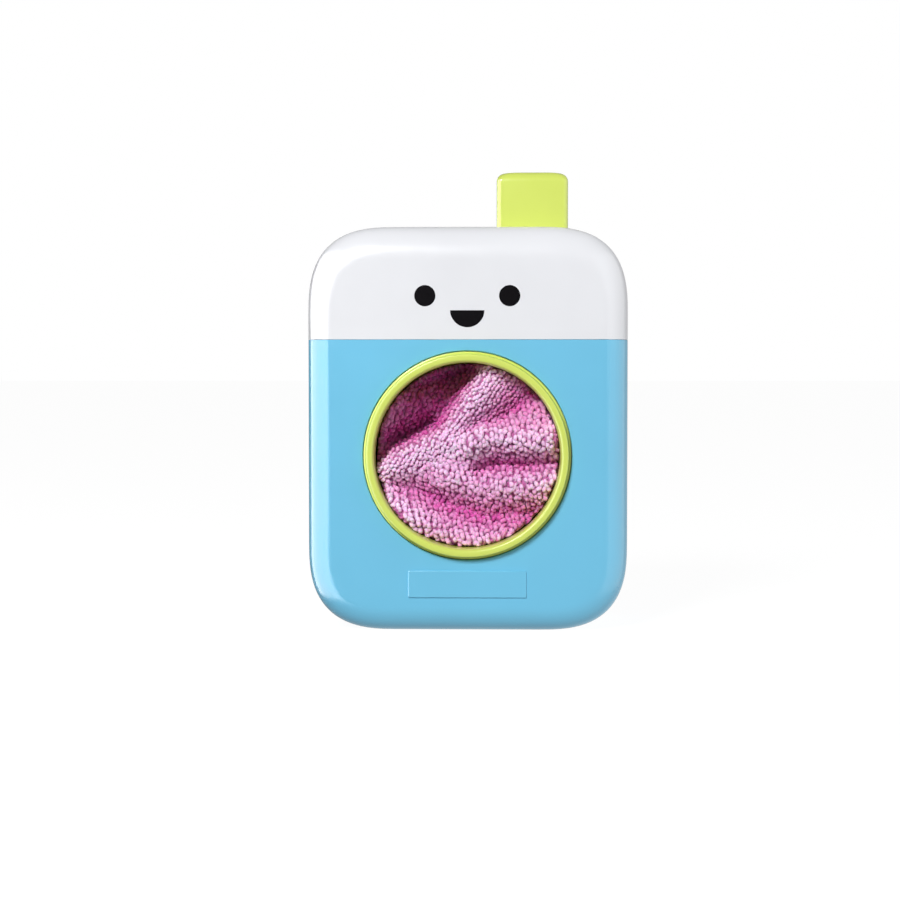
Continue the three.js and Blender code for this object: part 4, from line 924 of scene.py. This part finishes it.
def side_pile():
    """The pile round the cloth's side, which shows once the cloth is pulled out."""
    rng = np.random.default_rng(SEED + 1)
    loops_round = int(2 * math.pi * SIDE_RADIUS / SIDE_PITCH)
    row, place = (a.ravel() for a in np.meshgrid(np.arange(SIDE_ROWS), np.arange(loops_round)))
    turned = place + 0.5 * (row % 2) + rng.uniform(-JITTER, JITTER, len(row))
    angle = turned * 2 * math.pi / loops_round
    x, z = np.cos(angle), np.sin(angle)
    edge = cloth_front(CLOTH_RADIUS * x, CLOTH_RADIUS * z)
    y = edge + SIDE_START + (row + rng.uniform(-JITTER, JITTER, len(row))) * SIDE_PITCH
    kept = y < CLOTH_BACK - SIDE_END
    x, y, z = x[kept], y[kept], z[kept]
    normal = np.stack([x, np.zeros_like(x), z], 1)
    centre = np.stack([SIDE_RADIUS * x, y, SIDE_RADIUS * z + DRUM_HEIGHT], 1)
    along = np.tile([0.0, 1.0, 0.0], (len(x), 1))
    made = loops_mesh("washcloth_side_loops", rng, centre, normal, along, np.full(len(x), SIDE_YARN))
    return set_loop_tones(made, rng.uniform(*SIDE_TONES, len(x)))


cloth = dress(washcloth(), terry, "washcloth", ["washcloth"])
loops = [dress(made, terry, "washcloth") for made in (front_pile(), side_pile())]


# The printed face and the bare plate

PRINT_THICKNESS, PRINT_GAP = 0.06, 0.03
PRINT_RIM, PRINT_BORDER = 0.985, 0.03
EYE_RADIUS, EYE_X, EYE_Z, EYE_SIDES = 5.25, 21.0, 167.2, 64
MOUTH_HALF_WIDTH, MOUTH_TOP, MOUTH_LOW, MOUTH_STEPS = 8.5, 160.0, 151.6, 40
PLATE_HALF_WIDTH, PLATE_LOW, PLATE_HIGH, PLATE_CORNER = 29.5, 17.3, 30.7, 0.9
PLATE_PROUD, PLATE_SUNK, PLATE_EDGE, PLATE_BORDER = 0.8, 0.3, 0.4, 0.02
PLATE_BEVEL, PLATE_STEPS = 0.12, 4


def printed(name, outline):
    """A layer of ink on the front face, with a softly rounded rim; outline is in x and z."""
    centre_x = sum(x for x, _ in outline) / len(outline)
    centre_z = sum(z for _, z in outline) / len(outline)

    def ring(scale, y):
        return [(centre_x + (x - centre_x) * scale, y, centre_z + (z - centre_z) * scale) for x, z in outline]

    rings = [ring(1, FRONT + PRINT_GAP), ring(1, FRONT - PRINT_THICKNESS / 2),
             ring(PRINT_RIM, FRONT - PRINT_THICKNESS)]
    return loft(name, rings, PRINT_BORDER)


def mouth():
    """A level half-moon."""
    angles = [math.pi + math.pi * i / MOUTH_STEPS for i in range(MOUTH_STEPS + 1)]
    outline = [(MOUTH_HALF_WIDTH * math.cos(angle), MOUTH_TOP + (MOUTH_TOP - MOUTH_LOW) * math.sin(angle))
               for angle in angles]
    return printed("face_mouth", outline)


def bare_plate():
    """The raised plate below the window, left bare."""
    def ring(inset, y):
        half, corner = PLATE_HALF_WIDTH - inset, PLATE_CORNER - inset
        low, high = PLATE_LOW + inset, PLATE_HIGH - inset
        outline = soft_rectangle(-half, half, low, high, corner, ROUND, PLATE_STEPS)
        return [(x, y, z) for x, z in outline]

    face = FRONT - PLATE_PROUD
    rings = [ring(0, FRONT + PLATE_SUNK), ring(0, face + PLATE_EDGE), ring(PLATE_BEVEL, face + PLATE_BEVEL),
             ring(PLATE_EDGE, face)]
    return loft("bare_plate", rings, PLATE_BORDER)


left_eye, right_eye = (printed(name, circle(EYE_RADIUS, x, EYE_Z, EYE_SIDES))
                       for name, x in (("face_eye_left", -EYE_X), ("face_eye_right", EYE_X)))
for piece in (left_eye, right_eye, mouth()):
    dress(piece, ink, "casing")
dress(bare_plate(), blue_plastic, "casing")


# The screws that show in their wells

SCREW_HEAD, SCREW_RADIUS, SCREW_SIDES = 2.0, 3.0, 48
SHANK_OVERLAP, HEAD_GAP, CUT_ABOVE = 0.5, 0.02, 1.0
DOME_HEIGHT, DOME_FLAT, DOME_STEPS = 1.1, 1.0, 8
CROSS_REACH, CROSS_HALF_WIDTH, CROSS_DEPTH = 1.7, 0.38, 1.2


def cross_screw(node):
    """The CAD's shank under a domed head with a cross recess."""
    x, _, z = middle_of(node)
    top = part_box(node)[1][1] / MM
    seat = top - SCREW_HEAD
    made = copy_of_node(node, f"{node}_fine")
    combine(made, "INTERSECT", block("shank", -SIDE, SIDE, FRONT, seat + SHANK_OVERLAP, 0, HEIGHT))
    profile = [(SCREW_RADIUS, seat + HEAD_GAP)]
    profile += [(DOME_FLAT + (SCREW_RADIUS - DOME_FLAT) * math.cos(angle),
                 top - DOME_HEIGHT * (1 - math.sin(angle)))
                for angle in (i / DOME_STEPS * math.pi / 2 for i in range(DOME_STEPS + 1))]
    combine(made, "UNION", turned_solid("head", profile, x, z, SCREW_SIDES))
    for across, up in ((CROSS_REACH, CROSS_HALF_WIDTH), (CROSS_HALF_WIDTH, CROSS_REACH)):
        recess = block("recess", x - across, x + across, top - CROSS_DEPTH, top + CUT_ABOVE, z - up, z + up)
        combine(made, "DIFFERENCE", recess)
    return tidy(made)


for screw in CASE_SCREWS + COVER_SCREWS:
    dress(cross_screw(screw), steel, "casing", [screw])


# The CAD nodes that stay

hidden_screws = [name for name in nodes if "_screw_" in name and name not in CASE_SCREWS + COVER_SCREWS]
KEPT_NODES = [
    (steel, ["idler_pin", "drum_screw", *hidden_screws]),
    (natural_plastic, ["gear_plate", "gear_cover", "drum_bush", "drum_gear", "idler_gear"]),
    (lime_plastic, ["drum_basket"]),
]
for finish, names in KEPT_NODES:
    for name in names:
        nodes[name].data.materials.clear()
        nodes[name].data.materials.append(finish)


# The studio, in metres

FOCAL_PIXELS, PICTURE, SENSOR = 2017.5, 900.0, 36.0
CAMERA_PLACE = (0.0224, -1.042, 0.1283)
PITCH, YAW = math.radians(2.147), math.radians(1.772)
FLOOR_HALF, FLOOR_GREY, FLOOR_GLOW = 40.0, 0.08, 0.96
LIGHTS_AIM = (0.0, 0.0, 0.10)
# How bright the tent is at the far left and at the far right
TENT_LEFT_RIGHT = (0.05, 1.2)
# How that changes: the axis, what is added at one place on it and at another, and the two places
TENT_CHANGES = [
    ("Y", -0.34, 0.0, -1.0, -0.1),
    ("Z", 0.36, 0.0, -0.5, 0.0),
    ("Z", 0.0, -0.42, 0.0, 1.0),
]


def studio_camera():
    """The camera, where the photograph was taken from."""
    data = bpy.data.cameras.new("camera")
    data.sensor_width = SENSOR
    data.lens = FOCAL_PIXELS / PICTURE * SENSOR
    data.clip_start = 0.05
    data.clip_end = 50.0
    camera = link(bpy.data.objects.new("camera", data))
    camera.location = CAMERA_PLACE
    camera.rotation_euler = (math.pi / 2 - PITCH, 0, YAW)
    bpy.context.scene.camera = camera


def studio_floor():
    """A plain white floor, seen by the camera alone, with a faint shadow."""
    half = FLOOR_HALF
    corners = [(-half, -half, 0), (half, -half, 0), (half, half, 0), (-half, half, 0)]
    mesh = bpy.data.meshes.new("studio_floor")
    mesh.from_pydata(corners, [], [(0, 1, 2, 3)])
    made = link(bpy.data.objects.new("studio_floor", mesh))
    white, _, _ = material(
        "studio_white", Roughness=1.0, Base_Color=(FLOOR_GREY, FLOOR_GREY, FLOOR_GREY, 1),
        Specular_IOR_Level=0.0, Emission_Color=(1, 1, 1, 1), Emission_Strength=FLOOR_GLOW)
    mesh.materials.append(white)
    made.visible_diffuse = False
    made.visible_glossy = False
    made.visible_transmission = False


def area_light(name, place, width, height, power, diffuse=True):
    """A rectangular light, unseen by the camera, aimed at the object."""
    data = bpy.data.lights.new(name, "AREA")
    data.shape = "RECTANGLE"
    data.size = width
    data.size_y = height
    data.energy = power
    made = link(bpy.data.objects.new(name, data))
    made.location = place
    made.rotation_euler = (Vector(LIGHTS_AIM) - Vector(place)).to_track_quat("-Z", "Y").to_euler()
    made.visible_camera = False
    made.visible_diffuse = diffuse


def studio_world():
    """White to the camera; to the object a soft tent, brighter on the right and above than on the left."""
    world = bpy.data.worlds.new("studio")
    world.use_nodes = True
    tree = world.node_tree
    tree.nodes.clear()
    output = tree.nodes.new("ShaderNodeOutputWorld")
    place = tree.nodes.new("ShaderNodeTexCoord")
    split = tree.nodes.new("ShaderNodeSeparateXYZ")
    tree.links.new(place.outputs["Generated"], split.inputs["Vector"])
    level = spread(tree, split.outputs["X"], *TENT_LEFT_RIGHT, from_low=-1.0, from_high=1.0)
    for axis, low, high, start, end in TENT_CHANGES:
        added = tree.nodes.new("ShaderNodeMath")
        tree.links.new(level, added.inputs[0])
        tree.links.new(spread(tree, split.outputs[axis], low, high, start, end), added.inputs[1])
        level = added.outputs["Value"]
    tent = tree.nodes.new("ShaderNodeBackground")
    tree.links.new(level, tent.inputs["Strength"])
    seen = tree.nodes.new("ShaderNodeBackground")
    seen.inputs["Strength"].default_value = 1.0
    seen.inputs["Color"].default_value = (1, 1, 1, 1)
    path = tree.nodes.new("ShaderNodeLightPath")
    mix = tree.nodes.new("ShaderNodeMixShader")
    tree.links.new(path.outputs["Is Camera Ray"], mix.inputs["Fac"])
    tree.links.new(tent.outputs["Background"], mix.inputs[1])
    tree.links.new(seen.outputs["Background"], mix.inputs[2])
    tree.links.new(mix.outputs["Shader"], output.inputs["Surface"])
    bpy.context.scene.world = world


studio_camera()
studio_floor()
area_light("key", (-0.62, -1.62, 1.14), width=0.5, height=0.5, power=45.0)
area_light("left_card", (-0.62, -0.22, 0.15), width=1.5, height=1.2, power=40.0, diffuse=False)
area_light("right_card", (0.7, -0.25, 0.2), width=1.5, height=1.2, power=7.0, diffuse=False)
studio_world()
bpy.context.scene.view_settings.view_transform = "Standard"
